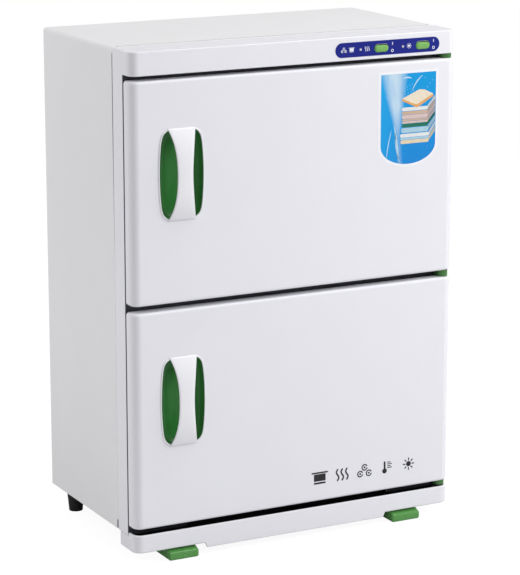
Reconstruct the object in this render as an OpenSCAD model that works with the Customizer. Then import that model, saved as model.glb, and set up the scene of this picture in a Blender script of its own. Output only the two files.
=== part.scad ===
// Two-door hot towel cabinet: a steel wrap casing round two heated aluminium chambers,
// closed at the front by a moulded frame and two hinged doors with strap handles.
// Frame: +Z up, origin at the centre of the bounding box's underside, front towards -Y.
// Depths ("d") are measured rearwards from the flat front face of the doors.

/* [Cabinet] */
// Width over the casing sides
cabinet_w = 454; // [452:1:480]
// Height from the floor to the top
cabinet_h = 640; // [636:1:660]
// Depth from the door faces to the back of the casing
cabinet_d = 262; // [258:1:280]
// Radius of the upright front corners
corner_r = 12; // [10:0.5:12]
// Sheet thickness of the casing
sheet = 1; // [0.8:0.1:1]
// Depth at which the steel casing meets the moulded front frame
seam_d = 50; // [48:1:52]

/* [Doors] */
// Thickness of each door
door_t = 18.5; // [18.5:0.1:18.5]
// Height of the top edge of the upper door
upper_top = 604.3; // [604:0.1:605.5]
// Height of the bottom edge of the upper door
upper_bottom = 329.2; // [328:0.1:330]
// Height of the top edge of the lower door
lower_top = 320.6; // [320.5:0.1:322.3]
// Height of the bottom edge of the lower door
lower_bottom = 45.5; // [45.3:0.1:46]
// Wall thickness of the door shells
door_wall = 2; // [1.8:0.1:2]
// Distance of the hinge axis from the cabinet's right side
hinge_inset = 10; // [10:0.1:10]
// Depth of the hinge axis
hinge_d = 8.5; // [8.5:0.1:8.5]

/* [Handles] */
// Width of the handle recess and its rim
grip_w = 62; // [60:1:64]
// Height of the handle recess and its rim
grip_h = 113; // [110:1:116]
// How far the strap stands out of the door
strap_proud = 13; // [12:0.5:13]
// Height of the handle above the middle of its door
grip_above_middle = 22; // [18:1:24]
// Distance from the middle of the cabinet to the middle of the handle
grip_x = -160; // [-164:1:-158]

/* [Controls] */
// Width of the control label
label_w = 150; // [148:1:152]
// Height of the control label
label_h = 18.5; // [18:0.5:19]
// Distance from the middle of the cabinet to the middle of the label
label_x = 126.5; // [124:0.5:127]
// Width of a rocker switch
rocker_w = 20; // [19:0.5:20]
// Height of a rocker switch
rocker_h = 9; // [8.5:0.5:9]
// Tilt of a rocker on each side of its middle
rocker_tilt = 6; // [4:1:6]

/* [Base] */
// Height of the sill's top edge
sill_top = 38; // [37:0.5:38]
// Height of the sill's lower edge beside the feet
sill_bottom = 15; // [15:0.5:16]
// Height of the sill's lower edge between the feet
lip_bottom = 9; // [8:0.5:10]
// Width of a front foot
foot_w = 41; // [38:1:42]

/* [Hidden] */
$fn = 64;

half_w = cabinet_w / 2;
gland_proud = 15;
front_y = -(cabinet_d + gland_proud - strap_proud) / 2;

// Front frame
frame_d = 22;
frame_wall = 2.5;
fascia_bottom = 610.5;
casing_bottom = 34;
slot_half_w = 146.5;
slot_top = 41;
flange_back = 66;
seal_d = 20.5;
seal_half_w = half_w - 0.3;
top_screw_x = half_w - 9.5;
top_screw_d = 57;

// Chambers and the openings in front of them
opening_half_w = 194;
door_lap = 12;
upper_open = [upper_bottom + door_lap, upper_top - door_lap];
lower_open = [lower_bottom + door_lap, lower_top - door_lap];
chamber_gap = 0.5;
chamber_back = 215;
chamber_half_w = opening_half_w + chamber_gap;
chamber_flange = 9;
panel_d = cabinet_d - 0.1;

// Hinges
hinge_x = half_w - hinge_inset;
hinge_y = front_y + hinge_d;
pin_r = 2.5;
bush_bore_r = 2.56;
bush_r = 4.5;
bush_len = 16;
bracket_gap = 0.3;
bracket_r = 7;
neck_half_w = 6;
bracket_top_z = [upper_top + bracket_gap, fascia_bottom - 0.2];
bracket_mid_z = [lower_top + bracket_gap, upper_bottom - bracket_gap];
bracket_low_z = [sill_top + 2, lower_bottom - bracket_gap];
pin_ranges = [[588, 609], [309, 341.5], [40.2, 60]];
hinge_screw_z = [593, 601, 315.5, 335, 51, 58];

// Handles
rim_proud = 1.2;
rim_w = 1.8;
cup_wall = 1;
cup_d = 15;
upper_grip_z = (upper_top + upper_bottom) / 2 + grip_above_middle;
lower_grip_z = (lower_top + lower_bottom) / 2 + grip_above_middle;

// Controls
label_z = 624;
heat_x = 117.2;
uv_x = 177;
rocker_z = 623.6;
rocker_pivot_d = 4.5;
lamp_x = [87.2, 148];

// Drip tray
tray_back = 44;
tray_wall = 2.5;
lip_half_w = 127;
tongue_x = 112;
tongue_w = 12;
tongue_z = [21, 25];
tongue_back = 100;

// Feet
front_foot_x = 161;
rear_foot_x = 203;
rear_foot_d = 240;
front_screw_d = 66;

// Rear face
gland_x = 170;
gland_z = 80;
gland_bore_r = 3.6;

function fy(d) = front_y + d;
function middle(r) = (r[0] + r[1]) / 2;

// Half-width of the barrel-shaped grip outline at height t, as a share of its half-height
function barrel(t) = (1 - 0.14 * t * t) * pow(1 - pow(abs(t) * 0.974, 12), 0.4);
function grip_outline(a, b, n = 24) = concat(
    [for (i = [0:n]) let (t = 1 - 2 * i / n) [-a * barrel(t), b * t]],
    [for (i = [0:n]) let (t = -1 + 2 * i / n) [a * barrel(t), b * t]]);
function strap_half_w(t) = 10.2 + 7 * t * t + 1.6 * pow(t, 6);
function strap_rise(t) = 2 + (strap_proud - 2) * (1 - pow(abs(t), 3.3));

// ---- Building blocks -------------------------------------------------------

// Block from ranges of x, depth and height
module slab(x, d, z)
    translate([x[0], fy(d[0]), z[0]]) cube([x[1] - x[0], d[1] - d[0], z[1] - z[0]]);

// The same block on both sides of the middle
module both_sides(x, d, z) {
    slab(x, d, z);
    slab([-x[1], -x[0]], d, z);
}

// Plan outline (x, y) raised from z0 to z1
module raise(z0, z1) translate([0, 0, z0]) linear_extrude(z1 - z0) children();

// Front-view outline (x, z) pushed from depth d0 to d1
module push(d0, d1)
    translate([0, fy(d1), 0]) rotate([90, 0, 0]) linear_extrude(d1 - d0) children();

// Side-view outline (depth, z) drawn out from x0 to x1
module draw_out(x0, x1)
    translate([x0, front_y, 0]) rotate([90, 0, 90]) linear_extrude(x1 - x0) children();

// Rod along the depth, from d0 to d1
module rod_y(x, z, r, d0, d1, sides = 64)
    translate([x, fy(d1), z]) rotate([90, 0, 0]) cylinder(r = r, h = d1 - d0, $fn = sides);

// Rod across the cabinet, from x0 to x1
module rod_x(x0, x1, y, z, r)
    translate([x0, y, z]) rotate([0, 90, 0]) cylinder(r = r, h = x1 - x0);

// Rod between two points, with a round start
module rod(a, b, r, sides = 12) {
    v = b - a;
    len = norm(v);
    translate(a) {
        sphere(r = r, $fn = sides);
        rotate([0, acos(v[2] / len), atan2(v[1], v[0])]) cylinder(r = r, h = len, $fn = sides);
    }
}

module rounded_rect(x0, x1, z0, z1, r) {
    translate([x0 + r, z0]) square([x1 - x0 - 2 * r, z1 - z0]);
    translate([x0, z0 + r]) square([x1 - x0, z1 - z0 - 2 * r]);
    for (x = [x0 + r, x1 - r], z = [z0 + r, z1 - r]) translate([x, z]) circle(r = r);
}

// Plan outline with both front corners rounded by r
module plan_front(half, d0, d1, r) intersection() {
    translate([-half, fy(d0)]) square([2 * half, d1 - d0]);
    union() {
        translate([-half + r, fy(d0)]) square([2 * (half - r), d1 - d0]);
        translate([-half, fy(d0) + r]) square([2 * half, d1 - d0 - r]);
        for (s = [-1, 1]) translate([s * (half - r), fy(d0) + r]) circle(r = r);
    }
}

// Ring in the front view between an outer and an inner rectangle
module ring(half_out, z_out, half_in, z_in) difference() {
    translate([-half_out, z_out[0]]) square([2 * half_out, z_out[1] - z_out[0]]);
    translate([-half_in, z_in[0]]) square([2 * half_in, z_in[1] - z_in[0]]);
}

// Countersunk screw driven rearwards, head flush at depth d
module screw_y(x, z, d, len, r = 1.5) {
    translate([x, fy(d), z]) rotate([-90, 0, 0]) cylinder(r1 = 2 * r, r2 = r, h = 1.4);
    rod_y(x, z, r, d, d + len);
}

// ---- Casing and frame ------------------------------------------------------

module casing_outline(inset) difference() {
    rounded_rect(-half_w + inset, half_w - inset, 0, cabinet_h - inset, 4 - inset);
    translate([-cabinet_w, -cabinet_h]) square([2 * cabinet_w, cabinet_h + casing_bottom]);
}

module outer_casing() color([0.93, 0.93, 0.95]) difference() {
    union() {
        push(seam_d + seam_min, cabinet_d) difference() {
            casing_outline(0);
            casing_outline(sheet);
            translate([-half_w + sheet, casing_bottom - 1]) square([2 * (half_w - sheet), 6]);
        }
        // Return flanges that the back panel screws to
        both_sides([half_w - 13, half_w - sheet], [cabinet_d - 2.2, cabinet_d - 1.2],
            [casing_bottom + 2, cabinet_h - 5]);
        slab([-half_w + 5, half_w - 5], [cabinet_d - 2.2, cabinet_d - 1.2],
            [cabinet_h - 13, cabinet_h - sheet]);
    }
    // The seam with the front frame opens towards the top of each side
    for (s = [0, 1]) mirror([s, 0, 0]) draw_out(half_w - 2, half_w + 1)
        seam_gap(0, seam_narrow_z, cabinet_h - 5);
    // Notch at the foot of the seam on each side
    both_sides([half_w - 5, half_w + 1], [seam_d, seam_d + 3.5],
        [casing_bottom - 1, casing_bottom + 12]);
    for (s = [-1, 1]) translate([s * top_screw_x, fy(top_screw_d), cabinet_h - 3])
        cylinder(r = 2.3, h = 4);
    for (p = panel_screw_places) rod_y(p[0], p[1], 1.25, cabinet_d - 3, cabinet_d - 1);
}

// Side view of the seam between frame and casing, less a clearance, between two heights
seam_narrow_z = 370;
seam_wide_z = 540;
seam_min = 0.4;
seam_max = 2;
module seam_gap(clear, z0, z1) polygon([[seam_d, z0], [seam_d + seam_min - clear, z0],
    [seam_d + seam_min - clear, seam_narrow_z], [seam_d + seam_max - clear, seam_wide_z],
    [seam_d + seam_max - clear, cabinet_h - 8], [seam_d + seam_min - clear, z1], [seam_d, z1]]);

// Black strips that close the side seams and the notches at their foot
module seam_strips() color([0.04, 0.04, 0.05]) for (s = [0, 1]) mirror([s, 0, 0])
    draw_out(half_w - 1.1, half_w - 0.15) {
        seam_gap(0.05, casing_bottom + 1, cabinet_h - 5.5);
        translate([seam_d, casing_bottom + 1]) square([3.4, 10.8]);
    }

module front_frame() color([0.95, 0.95, 0.97]) difference() {
    union() {
        // Fascia box over the doors
        difference() {
            raise(fascia_bottom, cabinet_h) plan_front(half_w, 0, seam_d, corner_r);
            raise(fascia_bottom + frame_wall, cabinet_h - frame_wall)
                plan_front(half_w - frame_wall, frame_wall, seam_d + 1, corner_r - frame_wall);
        }
        // Face wall and side walls of the ring round both openings
        slab([-half_w, half_w], [frame_d, frame_d + 3], [casing_bottom, fascia_bottom + 1]);
        both_sides([half_w - frame_wall, half_w], [frame_d, seam_d],
            [casing_bottom, fascia_bottom + 1]);
        // Flange that the casing slips over
        both_sides([half_w - 3.5, half_w - 1.1], [seam_d - 3, flange_back],
            [casing_bottom + 14, cabinet_h - 3.6]);
        slab([-half_w + 3.5, half_w - 3.5], [seam_d - 3, flange_back],
            [cabinet_h - 4.6, cabinet_h - 1.1]);
    }
    for (z = [upper_open, lower_open])
        slab([-opening_half_w, opening_half_w], [frame_d - 1, frame_d + 4], z);
    // Slot through which condensate reaches the drip tray
    slab([-slot_half_w, slot_half_w], [frame_d - 1, frame_d + 4], [casing_bottom - 1, slot_top]);
    for (x = [heat_x, uv_x]) push(-1, frame_wall + 0.1) rocker_hole(x);
    for (x = lamp_x) rod_y(x, rocker_z, 1.5, -1, frame_wall + 1);
    for (z = [bracket_top_z, bracket_mid_z, bracket_low_z]) bracket_neck(z, frame_d - 1, frame_d + 4);
    for (z = hinge_screw_z) rod_y(hinge_x, z, 1.5, frame_d - 1, frame_d + 4);
    for (s = [-1, 1]) translate([s * top_screw_x, fy(top_screw_d), cabinet_h - 5]) cylinder(r = 1.5, h = 5);
}

module seal_plate() color([0.16, 0.16, 0.18]) difference() {
    slab([-seal_half_w, seal_half_w], [seal_d, frame_d], [casing_bottom + 0.2, fascia_bottom - 0.2]);
    for (z = [upper_open, lower_open])
        slab([-opening_half_w, opening_half_w], [seal_d - 1, frame_d + 1], z);
    slab([-slot_half_w, slot_half_w], [seal_d - 1, frame_d + 1], [casing_bottom, slot_top]);
    for (z = [bracket_top_z, bracket_mid_z, bracket_low_z]) bracket_neck(z, seal_d - 1, frame_d + 1);
    for (z = hinge_screw_z) {
        rod_y(hinge_x, z, 1.5, seal_d - 1, frame_d + 1);
        translate([hinge_x, fy(seal_d + 0.1), z]) rotate([-90, 0, 0]) cylinder(r1 = 3, r2 = 1.5, h = 1.4);
        rod_y(hinge_x, z, 3, seal_d - 1, seal_d + 0.1);
    }
    for (z = catch_heights) catch_block(z, seal_d - 1, frame_d + 1);
}

module base_plate() color([0.62, 0.63, 0.65]) difference() {
    slab([-half_w + 3.7, half_w - 3.7], [frame_d + 3.2, cabinet_d - 2.4],
        [casing_bottom, casing_bottom + 1.2]);
    slab([-slot_half_w - 4, slot_half_w + 4], [frame_d, seam_d - 4], [casing_bottom - 1, casing_bottom + 3]);
    for (s = [-1, 1]) {
        translate([s * front_foot_x, fy(front_screw_d), casing_bottom - 1]) cylinder(r = 2, h = 4);
        translate([s * rear_foot_x, fy(rear_foot_d), casing_bottom - 1]) cylinder(r = 2, h = 4);
    }
}

panel_screw_places = concat(
    [for (s = [-1, 1], z = [70, 250, 430, 605]) [s * (half_w - 7.5), z]],
    [for (x = [-110, 110]) [x, cabinet_h - 8]]);

module back_panel() color([0.80, 0.81, 0.83]) difference() {
    push(cabinet_d - 1.1, panel_d) intersection() {
        casing_outline(1.2);
        translate([-half_w, casing_bottom + 1.4]) square([2 * half_w, cabinet_h]);
    }
    for (g = [-1, 1], i = [0:6])
        slab([g * 90 - 35, g * 90 + 35], [cabinet_d - 2, cabinet_d + 1], [540 + i * 8, 543 + i * 8]);
    rod_y(gland_x, gland_z, 7, cabinet_d - 3, cabinet_d + 1);
    for (p = panel_screw_places) rod_y(p[0], p[1], 1.25, cabinet_d - 3, cabinet_d + 1);
}

// ---- Chambers --------------------------------------------------------------

module chamber(z) color([0.78, 0.79, 0.80]) {
    z_in = [z[0] - chamber_gap, z[1] + chamber_gap];
    difference() {
        slab([-chamber_half_w - sheet, chamber_half_w + sheet], [frame_d + 3, chamber_back + sheet],
            [z_in[0] - sheet, z_in[1] + sheet]);
        slab([-chamber_half_w, chamber_half_w], [frame_d, chamber_back], z_in);
    }
    push(frame_d + 3, frame_d + 4)
        ring(chamber_half_w + chamber_flange, [z_in[0] - chamber_flange, z_in[1] + chamber_flange - 1],
            chamber_half_w + sheet / 2, [z_in[0] - sheet / 2, z_in[1] + sheet / 2]);
}
module upper_chamber() chamber(upper_open);
module lower_chamber() chamber(lower_open);

insulation_top = 606;

module insulation() color([0.93, 0.85, 0.45]) difference() {
    slab([-half_w + 4, half_w - 4], [frame_d + 9, 228], [casing_bottom + 5, insulation_top]);
    for (z = [upper_open, lower_open]) {
        slab([-chamber_half_w - 1.2, chamber_half_w + 1.2], [frame_d, chamber_back + 1.2],
            [z[0] - 4.5, z[1] + 2]);
        for (x = [-60, 60]) rod_y(x, middle(z), 9, chamber_back, 230);
        slab([-30, 30], [chamber_back, 230], [middle(z) - 44, middle(z) - 36]);
    }
    slab([-slot_half_w - 4, slot_half_w + 4], [frame_d, seam_d - 4],
        [casing_bottom, slot_top + 2]);
    for (s = [-1, 1]) {
        translate([s * front_foot_x, fy(front_screw_d), casing_bottom]) cylinder(r = 6, h = 8);
    }
}

shelf_wire_r = 1.5;
shelf_half_w = 188;
shelf_front = 34;
shelf_back = 208;
shelf_rise = 24;

// Flat wire shelf: a frame of thicker wire with thin wires across it
module shelf(z) color([0.85, 0.86, 0.88]) {
    y0 = fy(shelf_front);
    y1 = fy(shelf_back);
    for (y = [y0, y1]) rod_x(-shelf_half_w, shelf_half_w, y, z, 2);
    for (x = [-shelf_half_w, shelf_half_w]) {
        translate([x, y1, z]) rotate([90, 0, 0]) cylinder(r = 2, h = y1 - y0);
        for (y = [y0, y1]) translate([x, y, z]) sphere(r = 2);
    }
    for (i = [1:15]) translate([-shelf_half_w + i * shelf_half_w / 8, y1, z])
        rotate([90, 0, 0]) cylinder(r = shelf_wire_r, h = y1 - y0, $fn = 24);
    rod_x(4 - shelf_half_w, shelf_half_w - 4, middle([y0, y1]), z - 2.6, shelf_wire_r);
}
module upper_shelf() shelf(upper_open[0] + shelf_rise);
module lower_shelf() shelf(lower_open[0] + shelf_rise);

// Angle strips on the chamber walls that the shelf rests on
module shelf_rails(z) color([0.72, 0.73, 0.75]) for (s = [-1, 1]) scale([s, 1, 1])
    draw_angle(z);
module draw_angle(z) {
    slab([chamber_half_w - 1, chamber_half_w], [40, 205], [z - 10, z - 2]);
    slab([chamber_half_w - 9, chamber_half_w], [40, 205], [z - 3, z - 2]);
}
module upper_shelf_rails() shelf_rails(upper_open[0] + shelf_rise);
module lower_shelf_rails() shelf_rails(lower_open[0] + shelf_rise);

// Shallow pan on the chamber floor
module drip_pan(z) color([0.82, 0.83, 0.84]) difference() {
    slab([-180, 180], [40, 205], [z - chamber_gap, z + 8]);
    slab([-179, 179], [41, 204], [z - chamber_gap + 1, z + 9]);
}
module upper_drip_pan() drip_pan(upper_open[0]);
module lower_drip_pan() drip_pan(lower_open[0]);

module heating_mat(z) color([0.80, 0.36, 0.16])
    slab([-150, 150], [50, 190], [z - chamber_gap - sheet - 2.2, z - chamber_gap - sheet]);
module upper_heating_mat() heating_mat(upper_open[0]);
module lower_heating_mat() heating_mat(lower_open[0]);

// Snap-disc thermostats on the chamber backs
module thermostats() color([0.20, 0.20, 0.22]) for (z = [upper_open, lower_open], x = [-60, 60]) {
    rod_y(x, middle(z), 8, chamber_back + sheet, chamber_back + 9);
    for (s = [-1, 1]) slab([x + s * 4 - 1.5, x + s * 4 + 1.5], [chamber_back + 9, chamber_back + 16],
        [middle(z) - 0.4, middle(z) + 0.4]);
}

// One-shot thermal fuses clamped across the chamber backs
module thermal_fuses() color([0.85, 0.80, 0.68]) for (z = [upper_open, lower_open])
    rod_x(-20, 20, fy(chamber_back + sheet + 3), middle(z) - 40, 3);

lamp_z = upper_open[1] - 14;
lamp_d = 190;
module uv_lamp() color([0.86, 0.88, 0.98]) rod_x(-100, 100, fy(lamp_d), lamp_z, 7.5);
module uv_lamp_sockets() color([0.95, 0.95, 0.93]) for (s = [-1, 1]) scale([s, 1, 1])
    slab([100, 112], [lamp_d - 11, lamp_d + 11], [lamp_z - 11, upper_open[1] + chamber_gap]);

// ---- Electrics -------------------------------------------------------------

ballast_x = [-70, 20];
ballast_d = [90, 130];
ballast_z = [insulation_top, insulation_top + 24];
module uv_ballast() color([0.75, 0.76, 0.78]) difference() {
    slab(ballast_x, ballast_d, ballast_z);
    for (x = [-64, 14]) translate([x, fy(95), ballast_z[1] - 2]) cylinder(r = 1.7, h = 3);
}

terminal_d = [240, cabinet_d - 1.1];
module terminal_block() color([0.93, 0.93, 0.90]) {
    difference() {
        slab([100, 148], terminal_d, [500, 520]);
        for (i = [0:3]) for (z = [500, 514])
            slab([104 + i * 11, 112 + i * 11], [238, 246], [z - 1, z + 7]);
    }
}

// Loom: mains lead from the gland to the terminals, then up and forward to the switches
loom_points = [
    [gland_x, fy(250), gland_z], [gland_x, fy(250), 488], [125, fy(250), 488],
    [125, fy(236), 488], [125, fy(236), 626], [125, fy(60), 626], [heat_x, fy(26), rocker_z]];
module wiring_loom() color([0.15, 0.15, 0.16]) {
    for (i = [0:len(loom_points) - 2]) rod(loom_points[i], loom_points[i + 1], 2.5);
    rod([125, fy(60), 626], [uv_x, fy(26), rocker_z], 2.5);
    rod([125, fy(110), 626], [ballast_x[1] + 0.1, fy(110), 618], 2);
}

module cord_gland() color([0.12, 0.12, 0.13]) difference() {
    union() {
        rod_y(gland_x, gland_z, 7, 254, cabinet_d + 2);
        rod_y(gland_x, gland_z, 11, panel_d, cabinet_d + 6, sides = 6);
        rod_y(gland_x, gland_z, 8, cabinet_d + 5, cabinet_d + gland_proud - 3);
        translate([gland_x, fy(cabinet_d + gland_proud - 3), gland_z]) rotate([-90, 0, 0])
            cylinder(r1 = 8, r2 = 6, h = 3);
        rod_y(gland_x, gland_z, 10, 255.5, cabinet_d - 1.1, sides = 6);
    }
    rod_y(gland_x, gland_z, gland_bore_r, 253, cabinet_d + gland_proud + 1);
}

module rocker_hole(x)
    rounded_rect(x - rocker_w / 2 - 0.3, x + rocker_w / 2 + 0.3,
        rocker_z - rocker_h / 2 - 0.9, rocker_z + rocker_h / 2 + 0.9, rocker_h / 2 + 0.8);

module control_label() color([0.16, 0.17, 0.60]) difference() {
    push(-0.3, 0) rounded_rect(label_x - label_w / 2, label_x + label_w / 2,
        label_z - label_h / 2, label_z + label_h / 2, label_h / 2 - 0.01);
    for (x = [heat_x, uv_x]) push(-1, 1) rocker_hole(x);
    for (x = lamp_x) rod_y(x, rocker_z, 1.5, -1, 1);
}

module indicator_lamps() color([0.96, 0.97, 1.0]) for (x = lamp_x) {
    rod_y(x, rocker_z, 1.5, -0.7, frame_wall);
    rod_y(x, rocker_z, 2.5, frame_wall, 8);
}

// Box behind the fascia that carries the rocker's pivots
module switch_housing(x) difference() {
    slab([x - 13, x + 13], [frame_wall, frame_d + 1], [rocker_z - 8, rocker_z + 8]);
    slab([x - 10.6, x + 10.6], [frame_wall - 1, 16], [rocker_z - 6.5, rocker_z + 6.5]);
    rod_x(x - 12.2, x + 12.2, fy(rocker_pivot_d), rocker_z, 1.06);
}
module switch_housings() color([0.10, 0.10, 0.11]) for (x = [heat_x, uv_x]) switch_housing(x);

// Rocker at rest in its off position, its lower half pressed in
module rocker(x) color([0.50, 0.76, 0.38])
    translate([x, fy(rocker_pivot_d), rocker_z]) rotate([rocker_tilt, 0, 0]) {
        translate([0, 6.5, 0]) rotate([90, 0, 0]) translate([0, 0, 7.5]) linear_extrude(5.5)
            rounded_rect(-rocker_w / 2, rocker_w / 2, -rocker_h / 2, rocker_h / 2, rocker_h / 2 - 0.1);
        translate([-4, -2, -1.5]) cube([8, 8, 3]);
        rotate([0, 90, 0]) cylinder(r = 1, h = 23.6, center = true);
    }
module heat_rocker() rocker(heat_x);
module uv_rocker() rocker(uv_x);

// ---- Hinges and catches ----------------------------------------------------

// Neck of a hinge bracket between two depths, at height range z
module bracket_neck(z, d0, d1) slab([hinge_x - neck_half_w, hinge_x + neck_half_w], [d0, d1], z);

module bracket(z, flange_z) difference() {
    union() {
        translate([hinge_x, fy(hinge_d + 1), z[0]]) cylinder(r = bracket_r, h = z[1] - z[0]);
        bracket_neck(z, hinge_d + 1, frame_d + 5);
        slab([hinge_x - 11, hinge_x + 7], [frame_d + 3, frame_d + 6], flange_z);
    }
    for (s = hinge_screw_z) rod_y(hinge_x, s, 1.5, frame_d + 2, frame_d + 8);
    for (p = pin_ranges) translate([hinge_x, hinge_y, p[0]]) cylinder(r = pin_r, h = p[1] - p[0]);
}
module hinge_brackets() color([0.36, 0.66, 0.30]) {
    bracket(bracket_top_z, [588, bracket_top_z[1]]);
    bracket(bracket_mid_z, [311.5, 338.5]);
    bracket(bracket_low_z, [bracket_low_z[0], 62]);
}

module hinge_pins() color([0.75, 0.76, 0.78]) for (p = pin_ranges)
    translate([hinge_x, hinge_y, p[0]]) cylinder(r = pin_r, h = p[1] - p[0]);

module hinge_screws() color([0.70, 0.71, 0.73]) for (z = hinge_screw_z)
    screw_y(hinge_x, z, seal_d + 0.1, 9);

catch_heights = [middle(upper_open) - 60, middle(upper_open) + 60,
    middle(lower_open) - 60, middle(lower_open) + 60];
catch_x = [-half_w + 5, -half_w + 13];
module catch_block(z, d0, d1) slab(catch_x, [d0, d1], [z - 20, z + 20]);
module catch_plates() color([0.66, 0.67, 0.69]) for (z = catch_heights) catch_block(z, seal_d, frame_d);

// ---- Drip tray and feet ----------------------------------------------------

module tray_slice(z0, z1, d1) difference() {
    raise(z0, z1) plan_front(half_w, 0, d1, corner_r);
    raise(max(z0, sill_bottom + tray_wall), z1 + 1)
        plan_front(half_w - tray_wall, tray_wall, tray_back - tray_wall, corner_r - tray_wall);
}
module drip_tray() color([0.94, 0.94, 0.96]) {
    difference() {
        union() {
            tray_slice(sill_bottom, casing_bottom - 0.6, tray_back);
            tray_slice(casing_bottom - 0.6, sill_top, seal_d - 0.3);
        }
        // Rounded lower rear corners of the sides
        for (s = [-1, 1]) slab_cut(s);
    }
    push(0, 3) polygon([[-lip_half_w - 3, sill_bottom], [-lip_half_w, lip_bottom],
        [lip_half_w, lip_bottom], [lip_half_w + 3, sill_bottom]]);
    both_sides([tongue_x - tongue_w / 2, tongue_x + tongue_w / 2], [tray_back, tongue_back], tongue_z);
}
module slab_cut(s)
    draw_out(s > 0 ? half_w - tray_wall : -half_w - 1, s > 0 ? half_w + 1 : -half_w + tray_wall)
    polygon([[tray_back - 4, sill_bottom - 1], [tray_back + 1, sill_bottom - 1],
        [tray_back + 1, sill_bottom + 4], [tray_back, sill_bottom + 4], [tray_back - 4, sill_bottom]]);

// Rubber mat in the tray, turned up against its rear wall
mat_t = 1.5;
module tray_mat() color([0.06, 0.06, 0.07]) {
    mat_half_w = half_w - tray_wall - 0.4;
    mat_back = tray_back - tray_wall - 0.2;
    raise(sill_bottom + tray_wall, sill_bottom + tray_wall + mat_t)
        plan_front(mat_half_w, tray_wall + 0.4, mat_back, corner_r - tray_wall - 0.4);
    slab([-mat_half_w, mat_half_w], [mat_back - mat_t, mat_back],
        [sill_bottom + tray_wall, casing_bottom - 1.5]);
}

module tray_guides() color([0.30, 0.30, 0.32]) for (s = [-1, 1]) scale([s, 1, 1]) difference() {
    slab([tongue_x - 9, tongue_x + 9], [54, 106], [18, casing_bottom]);
    slab([tongue_x - 6.3, tongue_x + 6.3], [53, 107], [tongue_z[0] - 0.3, tongue_z[1] + 0.3]);
    slab([tongue_x - 6.3, tongue_x + 6.3], [53, 107], [28, casing_bottom - 2]);
}

// Side profile of a front foot: a sloped toe under the sill and a post up to the base plate
module front_foot(x) difference() {
    draw_out(x - foot_w / 2, x + foot_w / 2) polygon([[-1.5, 0], [-3, 1.5], [-3, 8.6], [-1.6, 10.4],
        [9, 14.2], [51, 14.2], [51, casing_bottom], [82, casing_bottom], [82, 0]]);
    translate([x, fy(front_screw_d), 12]) cylinder(r = 1.9, h = casing_bottom);
}
module front_feet() color([0.37, 0.66, 0.31]) for (s = [-1, 1]) front_foot(s * front_foot_x);

module rear_feet() color([0.08, 0.08, 0.08]) for (s = [-1, 1])
    translate([s * rear_foot_x, fy(rear_foot_d), 0]) difference() {
        union() {
            cylinder(r1 = 9, r2 = 11.5, h = 26);
            translate([0, 0, 26]) cylinder(r = 11.5, h = casing_bottom - 26);
        }
        translate([0, 0, 12]) cylinder(r = 1.9, h = casing_bottom);
    }

module foot_screw(x, d) translate([x, fy(d), 0]) {
    translate([0, 0, 16]) cylinder(r = 1.9, h = casing_bottom + 1.2 - 16);
    translate([0, 0, casing_bottom + 1.2]) cylinder(r = 3.6, h = 2.4);
}
module foot_screws() color([0.70, 0.71, 0.73]) for (s = [-1, 1]) {
    foot_screw(s * front_foot_x, front_screw_d);
    foot_screw(s * rear_foot_x, rear_foot_d);
}

module casing_screws() color([0.55, 0.56, 0.58]) for (s = [-1, 1])
    translate([s * top_screw_x, fy(top_screw_d), cabinet_h - 7]) {
        cylinder(r = 1.5, h = 5.9);
        translate([0, 0, 5.9]) cylinder(r = 2.2, h = 0.9);
    }

module back_panel_screws() color([0.55, 0.56, 0.58]) for (p = panel_screw_places) {
    rod_y(p[0], p[1], 1.25, cabinet_d - 6, cabinet_d);
    rod_y(p[0], p[1], 3, panel_d, cabinet_d + 1.7);
}

// ---- Doors -----------------------------------------------------------------

// Plan outline of a door, grown inwards by inset; the hinge-side rear corner is rounded so
// that it clears the seal plate as it swings
rear_corner_r = 6;
module door_plan(inset, d0, d1) intersection() {
    plan_front(half_w - inset, d0, d1, corner_r - inset);
    union() {
        r = rear_corner_r - inset;
        x = half_w - inset;
        translate([-x, fy(d0)]) square([2 * x - r, d1 - d0]);
        translate([-x, fy(d0)]) square([2 * x, d1 - d0 - r]);
        translate([x - r, fy(d1) - r]) circle(r = r);
    }
}
module door_body(z, inset, d0, d1) intersection() {
    raise(z[0] + inset, z[1] - inset) door_plan(inset, d0, d1);
    push(d0, d1) rounded_rect(-half_w + inset, half_w - inset, z[0] + inset, z[1] - inset,
        4.5 - inset / 2);
}
liner_d = 16.5;
module grip_shape(grip_z, inset) translate([grip_x, grip_z])
    polygon(grip_outline(grip_w / 2 - inset, grip_h / 2 - inset));

module door_shell(z, grip_z) color([0.95, 0.95, 0.97]) difference() {
    door_body(z, 0, 0, door_t);
    door_body(z, door_wall, door_wall, 15);
    slab([-half_w + door_wall, half_w - 8], [11, door_t + 1], [z[0] + door_wall, z[1] - door_wall]);
    push(-1, door_wall + 1) grip_shape(grip_z, 0.8);
    translate([hinge_x, hinge_y, z[0] - 1]) cylinder(r = bush_r, h = z[1] - z[0] + 2);
}

// Raised back panel of a door; its plug stands inside the gasket
plug_half_w = 187;
plug_gap = 6;
module door_liner(z, open) color([0.92, 0.92, 0.92]) difference() {
    union() {
        slab([-half_w + door_wall, half_w - 8], [liner_d, door_t], [z[0] + door_wall, z[1] - door_wall]);
        slab([-plug_half_w, plug_half_w], [liner_d, 26], [open[0] + plug_gap, open[1] - plug_gap]);
    }
    slab([-plug_half_w + 2, plug_half_w - 2], [liner_d - 1, 24],
        [open[0] + plug_gap + 2, open[1] - plug_gap - 2]);
}

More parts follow.
